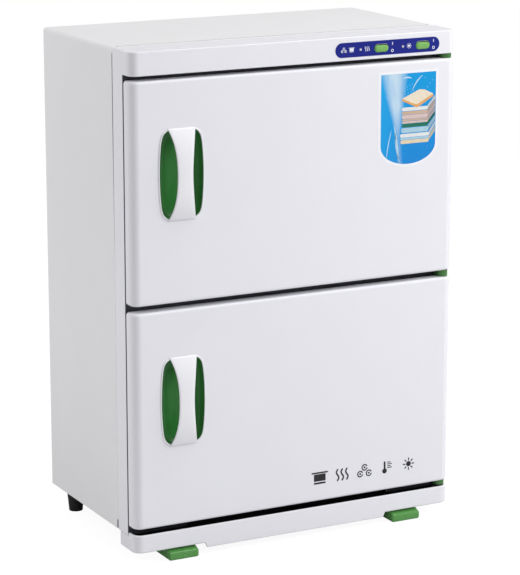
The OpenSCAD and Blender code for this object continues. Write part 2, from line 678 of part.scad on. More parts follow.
module door_foam(z, open, grip_z) color([0.95, 0.90, 0.70]) difference() {
    union() {
        door_body(z, door_wall, door_wall, 15);
        slab([-half_w + door_wall, half_w - 8], [11, liner_d], [z[0] + door_wall, z[1] - door_wall]);
        slab([-plug_half_w + 2, plug_half_w - 2], [liner_d - 1, 24],
            [open[0] + plug_gap + 2, open[1] - plug_gap - 2]);
    }
    push(-1, cup_d + 1.2) grip_shape(grip_z, 0.6);
    for (s = [z[0] - 1, z[1] - 22]) translate([hinge_x, hinge_y, s]) cylinder(r = bush_r, h = 23);
}

module door_gasket(z, open) color([0.10, 0.10, 0.11]) push(door_t, seal_d - 0.1)
    ring(half_w - 16, [z[0] + 3, z[1] - 3], opening_half_w + 5, [open[0] - 1.5, open[1] + 1.5]);

module door_bushes(z) color([0.88, 0.88, 0.84]) for (s = [z[0], z[1] - bush_len])
    translate([hinge_x, hinge_y, s]) difference() {
        cylinder(r = bush_r, h = bush_len);
        translate([0, 0, -1]) cylinder(r = bush_bore_r, h = bush_len + 2);
    }

module door_magnets(open) color([0.22, 0.22, 0.24]) for (s = [-60, 60])
    slab([catch_x[0] + 0.5, catch_x[1] - 0.5], [door_t, seal_d - 0.3],
        [middle(open) + s - 18, middle(open) + s + 18]);

// White rim and strap, moulded in one piece
strap_t = 3;
strap_steps = 32;
module strap_front() polygon(concat(
    [for (i = [0:strap_steps]) let (t = 1 - 2 * i / strap_steps) [-strap_half_w(t), t * grip_h / 2]],
    [for (i = [0:strap_steps]) let (t = -1 + 2 * i / strap_steps) [strap_half_w(t), t * grip_h / 2]]));
module strap_side() polygon(concat(
    [for (i = [0:strap_steps]) let (t = 1 - 2 * i / strap_steps) [-strap_rise(t), t * grip_h / 2]],
    [[0, -grip_h / 2], [0, -grip_h / 2 + 2]],
    [for (i = [1:strap_steps - 1]) let (t = -1 + 2 * i / strap_steps)
        [min(-rim_proud / 2, -strap_rise(t) + strap_t), t * (grip_h / 2 - 2)]],
    [[0, grip_h / 2 - 2], [0, grip_h / 2]]));
module handle(grip_z) color([0.95, 0.95, 0.96]) {
    push(-rim_proud, 0) difference() {
        grip_shape(grip_z, 0);
        grip_shape(grip_z, rim_w);
    }
    translate([0, 0, grip_z]) intersection() {
        push(-strap_proud - 1, 0) translate([grip_x, 0]) strap_front();
        draw_out(grip_x - 25, grip_x + 25) strap_side();
    }
}
module handle_cup(grip_z) color([0.22, 0.48, 0.22]) difference() {
    push(0, cup_d + 1) grip_shape(grip_z, 0.8);
    push(-1, cup_d) grip_shape(grip_z, 0.8 + cup_wall);
}

upper_z = [upper_bottom, upper_top];
lower_z = [lower_bottom, lower_top];
module upper_door_shell() door_shell(upper_z, upper_grip_z);
module lower_door_shell() door_shell(lower_z, lower_grip_z);
module upper_door_liner() door_liner(upper_z, upper_open);
module lower_door_liner() door_liner(lower_z, lower_open);
module upper_door_foam() door_foam(upper_z, upper_open, upper_grip_z);
module lower_door_foam() door_foam(lower_z, lower_open, lower_grip_z);
module upper_door_gasket() door_gasket(upper_z, upper_open);
module lower_door_gasket() door_gasket(lower_z, lower_open);
module upper_door_bushes() door_bushes(upper_z);
module lower_door_bushes() door_bushes(lower_z);
module upper_door_magnets() door_magnets(upper_open);
module lower_door_magnets() door_magnets(lower_open);
module upper_handle() handle(upper_grip_z);
module lower_handle() handle(lower_grip_z);
module upper_handle_cup() handle_cup(upper_grip_z);
module lower_handle_cup() handle_cup(lower_grip_z);

// Picture label: straight sides and a shallow arched foot
sticker_x = [114, 201];
sticker_half_w = (sticker_x[1] - sticker_x[0]) / 2;
sticker_top = 592.8;
sticker_side_bottom = 498.5;
sticker_arch = 28;
module door_sticker() color([0.0, 0.60, 0.88]) push(-0.2, 0) translate([middle(sticker_x), 0])
    polygon(concat([[sticker_half_w, sticker_top], [-sticker_half_w, sticker_top]],
        [for (i = [0:24]) let (a = 180 + i * 7.5)
            [sticker_half_w * cos(a), sticker_side_bottom + sticker_arch * sin(a)]]));

// Printed mark low on the lower door
marking_x = [21, 177];
marking_z = [68.5, 84.5];
module door_marking() color([0.08, 0.08, 0.09]) for (i = [0:4])
    slab([marking_x[0] + i * 33, marking_x[0] + i * 33 + 24], [-0.15, 0], marking_z);

outer_casing();
front_frame();
seal_plate();
base_plate();
back_panel();
upper_chamber();
lower_chamber();
insulation();
upper_shelf();
lower_shelf();
upper_shelf_rails();
lower_shelf_rails();
upper_drip_pan();
lower_drip_pan();
upper_heating_mat();
lower_heating_mat();
thermostats();
thermal_fuses();
uv_lamp();
uv_lamp_sockets();
uv_ballast();
terminal_block();
wiring_loom();
cord_gland();
control_label();
indicator_lamps();
switch_housings();
heat_rocker();
uv_rocker();
hinge_brackets();
hinge_pins();
hinge_screws();
catch_plates();
drip_tray();
tray_guides();
front_feet();
rear_feet();
foot_screws();
casing_screws();
back_panel_screws();
seam_strips();
tray_mat();
upper_door_shell();
upper_door_liner();
upper_door_foam();
upper_door_gasket();
upper_door_bushes();
upper_door_magnets();
upper_handle();
upper_handle_cup();
door_sticker();
lower_door_shell();
lower_door_liner();
lower_door_foam();
lower_door_gasket();
lower_door_bushes();
lower_door_magnets();
lower_handle();
lower_handle_cup();
door_marking();
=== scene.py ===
"""Looks of the two-door hot towel cabinet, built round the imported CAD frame."""

import math

import bmesh
import bpy
from mathutils import Matrix, Vector


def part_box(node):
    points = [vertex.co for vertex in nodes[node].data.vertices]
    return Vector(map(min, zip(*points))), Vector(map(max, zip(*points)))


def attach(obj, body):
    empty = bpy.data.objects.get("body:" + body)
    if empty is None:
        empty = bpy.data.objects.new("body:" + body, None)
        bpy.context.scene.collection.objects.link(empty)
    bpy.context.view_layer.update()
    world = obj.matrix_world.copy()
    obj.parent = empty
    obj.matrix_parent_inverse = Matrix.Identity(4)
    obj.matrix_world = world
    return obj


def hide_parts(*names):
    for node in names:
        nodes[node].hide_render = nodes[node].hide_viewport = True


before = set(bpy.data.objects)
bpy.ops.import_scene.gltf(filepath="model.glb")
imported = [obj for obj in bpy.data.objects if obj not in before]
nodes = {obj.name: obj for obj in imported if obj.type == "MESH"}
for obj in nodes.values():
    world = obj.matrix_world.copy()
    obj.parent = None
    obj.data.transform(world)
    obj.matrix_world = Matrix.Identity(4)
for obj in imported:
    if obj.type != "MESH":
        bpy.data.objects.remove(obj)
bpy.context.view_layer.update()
MM = 0.001

# ---- measures ----
def span(node):
    """Lowest and highest corners of a CAD node, in millimetres."""
    return [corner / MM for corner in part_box(node)]


low, high = span("upper_door_shell")
HALF_W, FRONT, DOOR_T = high.x, low.y, high.y - low.y
UPPER_Z = (low.z, high.z)
LOWER_Z = tuple(corner.z for corner in span("lower_door_shell"))
TOP_Z = span("outer_casing")[1].z
CORNER_R, REAR_CORNER_R = 12.0, 6.0
HINGE_X, HINGE_D = HALF_W - 10.0, 8.5


def middle(node):
    """Middle of a node in the front view, in millimetres."""
    lo, hi = span(node)
    return (lo.x + hi.x) / 2, (lo.z + hi.z) / 2


def at(x, d, z):
    """Point from x, depth behind the door faces and height, all in millimetres."""
    return Vector((x * MM, (FRONT + d) * MM, z * MM))


# ---- camera ----
LENS, SENSOR_W = 156.3, 36.0
CAMERA_PLACE = (-1.4485, -2.7990, 1.0506)
LOOK_DOWN, LOOK_RIGHT = 13.35, 27.617
camera_data = bpy.data.cameras.new("photo_camera")
camera_data.sensor_width = SENSOR_W
camera_data.lens = LENS
camera_data.clip_end = 40.0
camera = bpy.data.objects.new("photo_camera", camera_data)
bpy.context.scene.collection.objects.link(camera)
camera.location = CAMERA_PLACE
camera.rotation_euler = (math.radians(90 - LOOK_DOWN), 0.0, math.radians(-LOOK_RIGHT))
bpy.context.scene.camera = camera


# ---- materials ----
class Shade:
    """A Principled material with helpers for procedural detail in object space."""

    def __init__(self, name, color, rough, metal=0.0, **sockets):
        self.mat = bpy.data.materials.new(name)
        self.mat.use_nodes = True
        self.tree = self.mat.node_tree
        self.bsdf = self.tree.nodes["Principled BSDF"]
        self.color, self.rough = color, rough
        self.wire(self.bsdf, Base_Color=color, Roughness=rough, Metallic=metal, **sockets)
        self.coords = self.node("ShaderNodeTexCoord").outputs["Object"]
        self.normal = None

    def feed(self, value, socket):
        """Links an output to a socket, or gives the socket a fixed number, vector or colour."""
        if isinstance(value, bpy.types.NodeSocket):
            self.tree.links.new(value, socket)
        else:
            socket.default_value = (*value, 1) if socket.type == "RGBA" else value

    def wire(self, node, **inputs):
        """Feeds a node's inputs by name."""
        for key, value in inputs.items():
            self.feed(value, node.inputs[key.replace("_", " ")])
        return node

    def node(self, kind, **inputs):
        return self.wire(self.tree.nodes.new(kind), **inputs)

    def noise(self, scale, detail=2.0, rough=0.5, stretch=None, distortion=0.0):
        place = self.coords
        if stretch:
            place = self.node("ShaderNodeMapping", Vector=place, Scale=stretch).outputs["Vector"]
        return self.node("ShaderNodeTexNoise", Vector=place, Scale=scale, Detail=detail,
                         Roughness=rough, Distortion=distortion).outputs["Fac"]

    def cells(self, scale, output="Distance"):
        return self.node("ShaderNodeTexVoronoi", Vector=self.coords, Scale=scale).outputs[output]

    def remap(self, fac, low, high, start=0.3, end=0.7):
        return self.node("ShaderNodeMapRange", Value=fac, From_Min=start, From_Max=end,
                         To_Min=low, To_Max=high).outputs["Result"]

    def blend(self, fac, a, b):
        """Mix of two colours."""
        n = self.node("ShaderNodeMix")
        n.data_type = "RGBA"
        for value, k in ((fac, 0), (a, 6), (b, 7)):
            self.feed(value, n.inputs[k])
        return n.outputs[2]

    def calc(self, operation, *values):
        """Result of a Math node."""
        n = self.node("ShaderNodeMath")
        n.operation = operation
        for value, socket in zip(values, n.inputs):
            self.feed(value, socket)
        return n.outputs[0]

    def tint(self, color):
        self.wire(self.bsdf, Base_Color=color)
        return self

    def mottle(self, amount, scale, detail=3.0, stretch=None):
        """Small, broad changes of colour."""
        dark = tuple(v * (1 - amount) for v in self.color)
        fac = self.remap(self.noise(scale, detail, stretch=stretch), 0.0, 1.0)
        return self.tint(self.blend(fac, dark, self.color))

    def gloss(self, spread, scale, detail=4.0, stretch=None):
        """Roughness that changes over the surface."""
        fac = self.noise(scale, detail, stretch=stretch)
        self.wire(self.bsdf, Roughness=self.remap(fac, self.rough - spread, self.rough + spread))
        return self

    def bump(self, height, distance, strength):
        """Relief added to what is there already."""
        n = self.node("ShaderNodeBump", Height=height, Strength=strength, Distance=distance)
        if self.normal is not None:
            self.wire(n, Normal=self.normal)
        self.normal = n.outputs["Normal"]
        self.wire(self.bsdf, Normal=self.normal)
        return self


def powder_coat(name, color, rough=0.34):
    s = Shade(name, color, rough, Specular_IOR_Level=0.5)
    s.mottle(0.02, 9).gloss(0.05, 30).bump(s.noise(420, 2), 0.00006, 0.55)
    return s.bump(s.noise(1500, 1), 0.00002, 0.4).mat


def moulded(name, color, rough=0.25, mottle=0.015, grain=0.00001, **sockets):
    s = Shade(name, color, rough, **sockets)
    s.mottle(mottle, 14).gloss(0.04, 60).bump(s.noise(26, 1), 0.00010, 0.18)
    return s.bump(s.noise(1800, 2), grain, 0.5).mat


def metal(name, color, rough=0.25, stretch=(1, 60, 60), streak=0.00003, mottle=0.08):
    s = Shade(name, color, rough, 1.0)
    s.mottle(mottle, 25).gloss(0.07, 30, stretch=stretch)
    return s.bump(s.noise(30, 3, stretch=stretch), streak, 0.5).mat


def rubber(name, color=(0.012, 0.012, 0.013), rough=0.62):
    s = Shade(name, color, rough, Specular_IOR_Level=0.35)
    return s.mottle(0.3, 90).gloss(0.08, 200).bump(s.noise(1400, 3), 0.00005, 0.6).mat


def special(name, color, rough, mottle, gloss, relief, distance, strength, **sockets):
    """Material with a mottle, a gloss and a relief of its own."""
    s = Shade(name, color, rough, **sockets)
    return s.mottle(*mottle).gloss(*gloss).bump(relief(s), distance, strength).mat


def galvanised():
    """Zinc coating with its crystal spangle."""
    s = Shade("galvanised_sheet", (0.60, 0.62, 0.64), 0.42, 0.75)
    spangle = s.node("ShaderNodeRGBToBW", Color=s.cells(110.0, "Color")).outputs[0]
    s.tint(s.blend(spangle, (0.55, 0.565, 0.58), (0.66, 0.67, 0.69)))
    s.wire(s.bsdf, Roughness=s.remap(spangle, 0.38, 0.50, 0.0, 1.0))
    return s.bump(s.noise(240, 3), 0.00004, 0.5).mat


plastic_white = moulded("white_moulded_plastic", (0.835, 0.835, 0.88), 0.23)
handle_white = moulded("white_handle_plastic", (0.885, 0.885, 0.92), 0.2)
plastic_green = moulded("green_moulded_plastic", (0.095, 0.31, 0.07), 0.28, 0.06)
cup_green = moulded("deep_green_plastic", (0.034, 0.21, 0.04), 0.33, 0.08, 0.00002)
button_green = moulded("button_green_plastic", (0.19, 0.45, 0.11), 0.24, 0.05)
screw_steel = metal("screw_steel", (0.52, 0.52, 0.54), 0.3, (60, 60, 1))
# Dark steel of the casing screws: painted shade, standing in for the dark recesses the screws sit in
recess_shade_steel = metal("screw_steel_painted_recess_shade", (0.10, 0.10, 0.115), 0.42, (60, 60, 1))
stainless = metal("stainless_strip", (0.66, 0.67, 0.69), 0.28, (1, 60, 60), 0.00002, 0.05)
# Black of the tray mat: painted shade for the dark inside of the slot under the lower door
mat_black_painted_shade = rubber("tray_mat_rubber_painted_shade", (0.010, 0.010, 0.012), 0.55)
print_black = moulded("black_printing_ink", (0.01, 0.01, 0.012), 0.35, 0.2)
print_white = moulded("white_printing_ink", (0.85, 0.87, 0.95), 0.4, 0.05)
sticker_film = moulded("white_sticker_film", (0.90, 0.90, 0.94), 0.25, 0.02)
lamp_glass = special("ultraviolet_lamp_glass", (0.84, 0.88, 0.97), 0.08, (0.10, 18), (0.03, 60),
                     lambda s: s.noise(70, 2), 0.00005, 0.3, IOR=1.47, Transmission_Weight=0.45)

# Each material with the CAD nodes that wear it
FINISH = [
    (powder_coat("white_powder_coat", (0.815, 0.815, 0.83)), "outer_casing"),
    (plastic_white, "front_frame drip_tray upper_door_shell lower_door_shell"),
    (moulded("vacuum_formed_liner", (0.80, 0.81, 0.82), 0.34, 0.03, 0.00006),
     "upper_door_liner lower_door_liner"),
    # Seal plate: its dark grey is painted shade, standing in for the shaded frame face seen through the
    # door gaps; the tray guides wear it too
    (moulded("black_seal_plastic_painted_shade", (0.034, 0.037, 0.044), 0.5, 0.2, 0.00003), "seal_plate tray_guides"),
    (metal("zinc_plated_steel", (0.62, 0.63, 0.66), 0.32), "base_plate catch_plates"),
    (galvanised(), "back_panel uv_ballast"),
    (stainless, "upper_shelf_rails lower_shelf_rails hinge_pins"),
    (metal("brushed_aluminium", (0.80, 0.81, 0.83), 0.3, (1, 1, 90), 0.00004),
     "upper_chamber lower_chamber upper_drip_pan lower_drip_pan"),
    (metal("chromed_wire", (0.86, 0.87, 0.88), 0.12, (40, 40, 40), 0.00001, 0.03),
     "upper_shelf lower_shelf"),
    (screw_steel, "hinge_screws foot_screws back_panel_screws"),
    (recess_shade_steel, "casing_screws"),
    # Black rubber of the door gaskets; on the seam strips its black also stands in for the shade in the
    # seam between casing and surround, painted shade
    (rubber("gasket_rubber"), "upper_door_gasket lower_door_gasket seam_strips"),
    (rubber("foot_rubber", (0.006, 0.006, 0.006), 0.5), "rear_feet"),
    (rubber("cable_sheath", (0.014, 0.014, 0.016), 0.45), "wiring_loom"),
    (mat_black_painted_shade, "tray_mat"),
    (plastic_green, "front_feet"),
    # The feet's green plastic darkened for the hinge brackets: painted shade, as they sit in the shade of
    # the door gaps
    (moulded("hinge_green_plastic_painted_shade", (0.058, 0.19, 0.043), 0.32, 0.08), "hinge_brackets"),
    (moulded("black_moulded_plastic", (0.014, 0.014, 0.016), 0.42, 0.2, 0.00004),
     "switch_housings thermostats cord_gland"),
    (moulded("natural_nylon", (0.76, 0.75, 0.66), 0.38, 0.05, 0.00003, Subsurface_Weight=0.15),
     "upper_door_bushes lower_door_bushes"),
    (moulded("lampholder_plastic", (0.80, 0.80, 0.77), 0.35, 0.03, 0.00003), "uv_lamp_sockets"),
    (moulded("terminal_strip_plastic", (0.76, 0.75, 0.66), 0.4, 0.06, 0.00004), "terminal_block"),
    (moulded("blue_printed_film", (0.010, 0.018, 0.235), 0.34, 0.1, Specular_IOR_Level=0.3),
     "control_label"),
    (button_green, "heat_rocker uv_rocker"),
    (handle_white, "upper_handle lower_handle"),
    (cup_green, "upper_handle_cup lower_handle_cup"),
    (print_black, "door_marking"),
    (sticker_film, "door_sticker"),
    (lamp_glass, "uv_lamp"),
    (special("clear_lamp_lens", (0.90, 0.92, 0.98), 0.12, (0.06, 300), (0.04, 400),
             lambda s: s.cells(1800), 0.00004, 0.6, IOR=1.49, Transmission_Weight=0.35),
     "indicator_lamps"),
    (special("fuse_ceramic", (0.70, 0.64, 0.52), 0.38, (0.14, 220, 5), (0.08, 300),
             lambda s: s.noise(900, 4), 0.00005, 0.6), "thermal_fuses"),
    (special("glass_wool", (0.78, 0.62, 0.24), 0.95, (0.35, 60, 6, (1, 1, 3)), (0.04, 80),
             lambda s: s.noise(260, 8, 0.7, (1, 5, 5), 1.5), 0.0012, 0.9, Sheen_Weight=0.4), "insulation"),
    (special("rigid_foam", (0.76, 0.68, 0.47), 0.9, (0.16, 40, 5), (0.05, 90),
             lambda s: s.cells(900), 0.0004, 0.8), "upper_door_foam lower_door_foam"),
    (special("heating_mat_silicone", (0.56, 0.13, 0.035), 0.5, (0.18, 30), (0.06, 120),
             lambda s: s.cells(420), 0.00025, 0.7, Specular_IOR_Level=0.4),
     "upper_heating_mat lower_heating_mat"),
    (special("ferrite_magnet", (0.045, 0.044, 0.046), 0.55, (0.35, 180, 6), (0.1, 260),
             lambda s: s.noise(1100, 5), 0.00006, 0.8), "upper_door_magnets lower_door_magnets"),
]
for material, names in FINISH:
    for name in names.split():
        mesh = nodes[name].data
        mesh.materials.clear()
        mesh.materials.append(material)


# ---- mesh helpers ----
def new_piece(name, mesh, material, body, replaces=()):
    obj = bpy.data.objects.new(name, mesh)
    bpy.context.scene.collection.objects.link(obj)
    mesh.materials.clear()
    mesh.materials.append(material)
    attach(obj, body)
    if replaces:
        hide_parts(*replaces)
    return obj


def loft(name, loops, wrap=False):
    """Skin over closed loops with the same count of points, capped at its ends or wrapped round."""
    n = len(loops[0])
    faces = []
    for i in range(len(loops) if wrap else len(loops) - 1):
        k = (i + 1) % len(loops)
        faces += [(i * n + j, i * n + (j + 1) % n, k * n + (j + 1) % n, k * n + j) for j in range(n)]
    if not wrap:
        faces += [tuple(range(n)), tuple((len(loops) - 1) * n + j for j in range(n))]
    mesh = bpy.data.meshes.new(name)
    mesh.from_pydata([point for loop in loops for point in loop], [], faces)
    bm = bmesh.new()
    bm.from_mesh(mesh)
    bmesh.ops.remove_doubles(bm, verts=bm.verts, dist=1e-7)
    bmesh.ops.recalc_face_normals(bm, faces=bm.faces)
    bm.to_mesh(mesh)
    bm.free()
    return mesh


def smooth(mesh, angle=35.0):
    """Smooth shading with the edges sharper than angle kept crisp."""
    bm = bmesh.new()
    bm.from_mesh(mesh)
    limit = math.radians(angle)
    for f in bm.faces:
        f.smooth = True
    for e in bm.edges:
        e.smooth = len(e.link_faces) == 2 and e.calc_face_angle(0.0) < limit
    bm.to_mesh(mesh)
    bm.free()


def level(obj):
    """Area-weighted normals, so that large flat faces stay flat beside their fillets."""
    m = obj.modifiers.new("weighted_normals", "WEIGHTED_NORMAL")
    m.keep_sharp = True
    m.weight = 100


def clean_normals():
    """Geometry nodes that drop the stored normals and join the split corners of a mesh."""
    tree = bpy.data.node_groups.new("clean_normals", "GeometryNodeTree")
    tree.interface.new_socket("Geometry", in_out="INPUT", socket_type="NodeSocketGeometry")
    tree.interface.new_socket("Geometry", in_out="OUTPUT", socket_type="NodeSocketGeometry")
    kinds = ("NodeGroupInput", "GeometryNodeRemoveAttribute", "GeometryNodeRemoveAttribute",
             "GeometryNodeMergeByDistance", "GeometryNodeSetShadeSmooth", "NodeGroupOutput")
    chain = [tree.nodes.new(kind) for kind in kinds]
    chain[1].inputs["Name"].default_value = "custom_normal"
    chain[2].inputs["Name"].default_value = "sharp_edge"
    chain[3].inputs["Distance"].default_value = 1e-6
    for a, b in zip(chain, chain[1:]):
        tree.links.new(a.outputs[0], b.inputs[0])
    return tree


CLEAN = clean_normals()
SOFTENED_ANGLE = 38.0


def soften(name, width):
    """Rounds the sharp edges of a CAD node with modifiers that leave its mesh as it is."""
    obj = nodes[name]
    obj.modifiers.new("clean", "NODES").node_group = CLEAN
    bevel = obj.modifiers.new("bevel", "BEVEL")
    bevel.width = width * MM
    bevel.segments = 2
    bevel.limit_method = "ANGLE"
    bevel.angle_limit = math.radians(SOFTENED_ANGLE)
    bevel.use_clamp_overlap = True
    bevel.miter_outer = "MITER_ARC"
    level(obj)


def combine(mesh, steps):
    """Mesh changed by booleans: steps are pairs of an operation and a mesh."""
    scene = bpy.context.scene.collection
    base = bpy.data.objects.new("cut_base", mesh)
    scene.objects.link(base)
    tools = []
    for operation, other in steps:
        tool = bpy.data.objects.new("cut_tool", other)
        scene.objects.link(tool)
        m = base.modifiers.new("step", "BOOLEAN")
        m.operation, m.solver, m.object = operation, "EXACT", tool
        tools.append(tool)
    evaluated = base.evaluated_get(bpy.context.evaluated_depsgraph_get())
    result = bpy.data.meshes.new_from_object(evaluated)
    for obj in [base, *tools]:
        bpy.data.objects.remove(obj)
    return result


def cut(mesh, cutters):
    """Mesh minus the cutter meshes."""
    return combine(mesh, [("DIFFERENCE", c) for c in cutters])


def joined(name, meshes):
    """One mesh from several separate ones."""
    bm = bmesh.new()
    for mesh in meshes:
        bm.from_mesh(mesh)
    result = bpy.data.meshes.new(name)
    bm.to_mesh(result)
    bm.free()
    return result


def arc(cx, cz, r, a0, a1, n):
    """Points of an arc, angles in degrees, counted as (x, other axis)."""
    return [(cx + r * math.cos(math.radians(a0 + (a1 - a0) * i / n)),
             cz + r * math.sin(math.radians(a0 + (a1 - a0) * i / n))) for i in range(n + 1)]


def circle(cx, cz, r, n=32):
    return arc(cx, cz, r, 0, 360 - 360 / n, n - 1)


def pill(a, b, r, n=6):
    """Rectangle of half-sizes a and b with round corners, about the origin."""
    r = min(r, a - 0.01, b - 0.01)
    return (arc(a - r, b - r, r, 0, 90, n) + arc(r - a, b - r, r, 90, 180, n)
            + arc(r - a, r - b, r, 180, 270, n) + arc(a - r, r - b, r, 270, 360, n))


def moved(points, dx, dz, scale=1.0):
    """Outline scaled about the origin, then shifted."""
    return [(dx + x * scale, dz + z * scale) for x, z in points]


def prism(name, outline, d0, d1):
    """Front-view outline (x, z) extruded between two depths."""
    return loft(name, [[at(x, d, z) for x, z in outline] for d in (d0, d1)])


def upright(name, outline, z0, z1):
    """Plan outline (x, d) extruded between two heights."""
    return loft(name, [[at(x, d, z) for x, d in outline] for z in (z0, z1)])


def crossways(name, section, x0, x1):
    """Side-view outline (d, z) extruded across the cabinet."""
    return loft(name, [[at(x, d, z) for d, z in section] for x in (x0, x1)])


def stacked(name, plan, levels, *more):
    """Solid from a plan outline at each level, a height and an inset."""
    return loft(name, [[at(x, d, z) for x, d in plan(inset, *more)] for z, inset in levels])


def block(x, d, z):
    """Block from ranges of x, depth and height."""
    return upright("block", [(x[0], d[0]), (x[1], d[0]), (x[1], d[1]), (x[0], d[1])], *z)


def fillet_rows(radius, steps=6):
    """Height and inset of each row of a quarter-round edge, from the face inwards."""
    angles = [math.pi / 2 * i / steps for i in range(steps + 1)]
    return [(radius * (1 - math.cos(a)), radius * (1 - math.sin(a))) for a in angles]


def solids(name):
    """Boxes, in millimetres, of the separate solids of a CAD node."""
    bm = bmesh.new()
    bm.from_mesh(nodes[name].data)
    bmesh.ops.remove_doubles(bm, verts=bm.verts, dist=1e-6)
    left, boxes = set(bm.verts), []
    while left:
        todo = [left.pop()]
        found = list(todo)
        while todo:
            for edge in todo.pop().link_edges:
                for v in edge.verts:
                    if v in left:
                        left.remove(v)
                        todo.append(v)
                        found.append(v)
        boxes.append([[f(v.co[i] for v in found) / MM for i in range(3)] for f in (min, max)])
    bm.free()
    return sorted(boxes)


# ---- door shells ----
DOOR_FILLET, DOOR_WALL = 4.0, 2.0
LINER_D, HINGE_EDGE, BUSH_R = 11.0, 8.0, 4.5
GRIP_HALF_W, GRIP_HALF_H, GRIP_LAP = 31.0, 56.5, 0.8


def front_line(inset, depth, n=10):
    """Left side and rounded front of the cabinet's plan, moved inwards by inset."""
    r, centre = CORNER_R - inset, HALF_W - CORNER_R
    return ([(inset - HALF_W, depth)] + arc(-centre, CORNER_R, r, 180, 270, n)
            + arc(centre, CORNER_R, r, 270, 360, n))


def front_plan(inset, depth, n=10):
    """Plan outline with rounded front corners and a straight back."""
    return front_line(inset, depth, n) + [(HALF_W - inset, depth)]


def door_plan(inset):
    """Plan outline of a door, whose rear corner beside the hinge is rounded too."""
    rear = arc(HALF_W - REAR_CORNER_R, DOOR_T - REAR_CORNER_R, REAR_CORNER_R - inset, 0, 90, 8)
    return front_line(inset, DOOR_T, 14) + rear


def barrel_outline(a, b, n=30):
    """Barrel-shaped outline of the grip, half-width a and half-height b."""
    def width(t):
        return a * (1 - 0.14 * t * t) * (1 - (abs(t) * 0.974) ** 12) ** 0.4
    ts = [math.sin(math.pi / 2 * (1 - 2 * i / n)) for i in range(n + 1)]
    return [(-width(t), b * t) for t in ts] + [(width(-t), -b * t) for t in ts]


def door_shell(body, z0, z1, grip_x, grip_z):
    """Moulded front of a door, hollow behind, with holes for the grip and the bushes."""
    name = body + "_front"
    rows = fillet_rows(DOOR_FILLET, 8)
    levels = [(z0 + h, i) for h, i in rows] + [(z1 - h, i) for h, i in reversed(rows)]
    grip = moved(barrel_outline(GRIP_HALF_W - GRIP_LAP, GRIP_HALF_H - GRIP_LAP), grip_x, grip_z)
    inside = (z0 + DOOR_WALL, z1 - DOOR_WALL)
    mesh = cut(stacked(name, door_plan, levels), [
        upright("hollow", front_plan(DOOR_WALL, LINER_D + 4), *inside),
        block((DOOR_WALL - HALF_W, HALF_W - HINGE_EDGE), (LINER_D, DOOR_T + 1), inside),
        prism("grip_hole", grip, -1, DOOR_WALL + 1),
        upright("bush_hole", circle(HINGE_X, HINGE_D, BUSH_R), z0 - 1, z1 + 1),
    ])
    smooth(mesh, 30)
    level(new_piece(name, mesh, plastic_white, body, [body + "_shell"]))


# ---- handles ----
STRAP_PROUD, STRAP_FOOT, STRAP_T = 13.0, 2.0, 3.0
STRAP_END, STRAP_EDGE = 1.3, 1.25
CUP_DEPTH, CUP_WALL, CUP_RIM = 14.6, 12.0, 1.8


def strap_half_w(t):
    """Half-width of the strap, narrowest at its middle, t = 0, and widest at its ends, t = 1 and -1."""
    return 10.2 + 7 * t * t + 1.6 * t ** 6


def strap_rise(t):
    return STRAP_FOOT + (STRAP_PROUD - STRAP_FOOT) * (1 - abs(t) ** 3.3)


def strap_mesh(name, cx, cz):
    """Bowed strap: a rounded section swept up the handle."""
    stations, corner = 84, 5
    loops = []
    for i in range(stations + 1):
        t = math.sin(math.pi / 2 * (2 * i / stations - 1))
        z = GRIP_HALF_H * t
        w, front = strap_half_w(t), -strap_rise(t)
        back = min(-0.6, front + STRAP_T)
        end = GRIP_HALF_H - abs(z)
        if end < STRAP_END:
            over = ((STRAP_END - end) / STRAP_END) ** 2
            front = back + (front - back) * max(0.12, math.sqrt(1 - over))
            w -= 0.7 * over
        r = min(STRAP_EDGE, (back - front) / 2 * 0.98)
        ring = []
        for ux, ud, a0 in ((1, -1, -90), (1, 1, 0), (-1, 1, 90), (-1, -1, 180)):
            mx, md = ux * (w - r), (front + r) if ud < 0 else (back - r)
            ring += arc(mx, md, r, a0, a0 + 90, corner)
            if ux == 1 and ud == 1:
                ring += [(w * k, back) for k in (0.5, 0.0, -0.5)]
        ring += [(w * k, front) for k in (-0.6, -0.3, 0.0, 0.3, 0.6)]
        crown = min(0.5, 0.2 * (back - front))
        loops.append([at(cx + x, d + crown * (x / w) ** 2 if d < (front + back) / 2 else d, cz + z)
                      for x, d in ring])
    return loft(name, loops)


def barrel_loop(cx, cz, a, b, d):
    """Barrel outline about a middle, at depth d."""
    return [at(x, d, z) for x, z in moved(barrel_outline(a, b, 44), cx, cz)]


def rim_mesh(name, cx, cz):
    """Rounded rim round the grip recess, turned down into the door's hole."""
    section = [(0.0, 0.0), (0.05, -0.5), (0.3, -0.95), (0.75, -1.2), (1.2, -1.15), (1.6, -0.8), (1.8, -0.3),
               (1.8, 1.2), (0.85, 1.2), (0.85, 0.0)]
    return loft(name, [barrel_loop(cx, cz, GRIP_HALF_W - i, GRIP_HALF_H - i, d) for i, d in section],
                wrap=True)


def cup_mesh(name, cx, cz):
    """Bowl of the grip recess: steep rounded walls running into a hollow floor."""
    a, b = GRIP_HALF_W - CUP_RIM, GRIP_HALF_H - CUP_RIM
    levels = [(a + 1.0, b + 1.0, CUP_DEPTH + 1.3), (a + 1.0, b + 1.0, 0.6), (a, b, 0.2)]
    for k in range(15):
        turn = math.pi / 2 * k / 14
        inset = CUP_WALL * (1 - math.cos(turn))
        levels.append((a - inset, b - inset * 1.5, (CUP_DEPTH - 1.6) * math.sin(turn)))
    floor_a, floor_b, floor_d = levels[-1]
    for k in range(1, 9):
        s = 1 - k / 8.5
        levels.append((floor_a * s, floor_b * s, floor_d + (CUP_DEPTH - floor_d) * (1 - s * s)))
    return loft(name, [barrel_loop(cx, cz, *row) for row in levels])


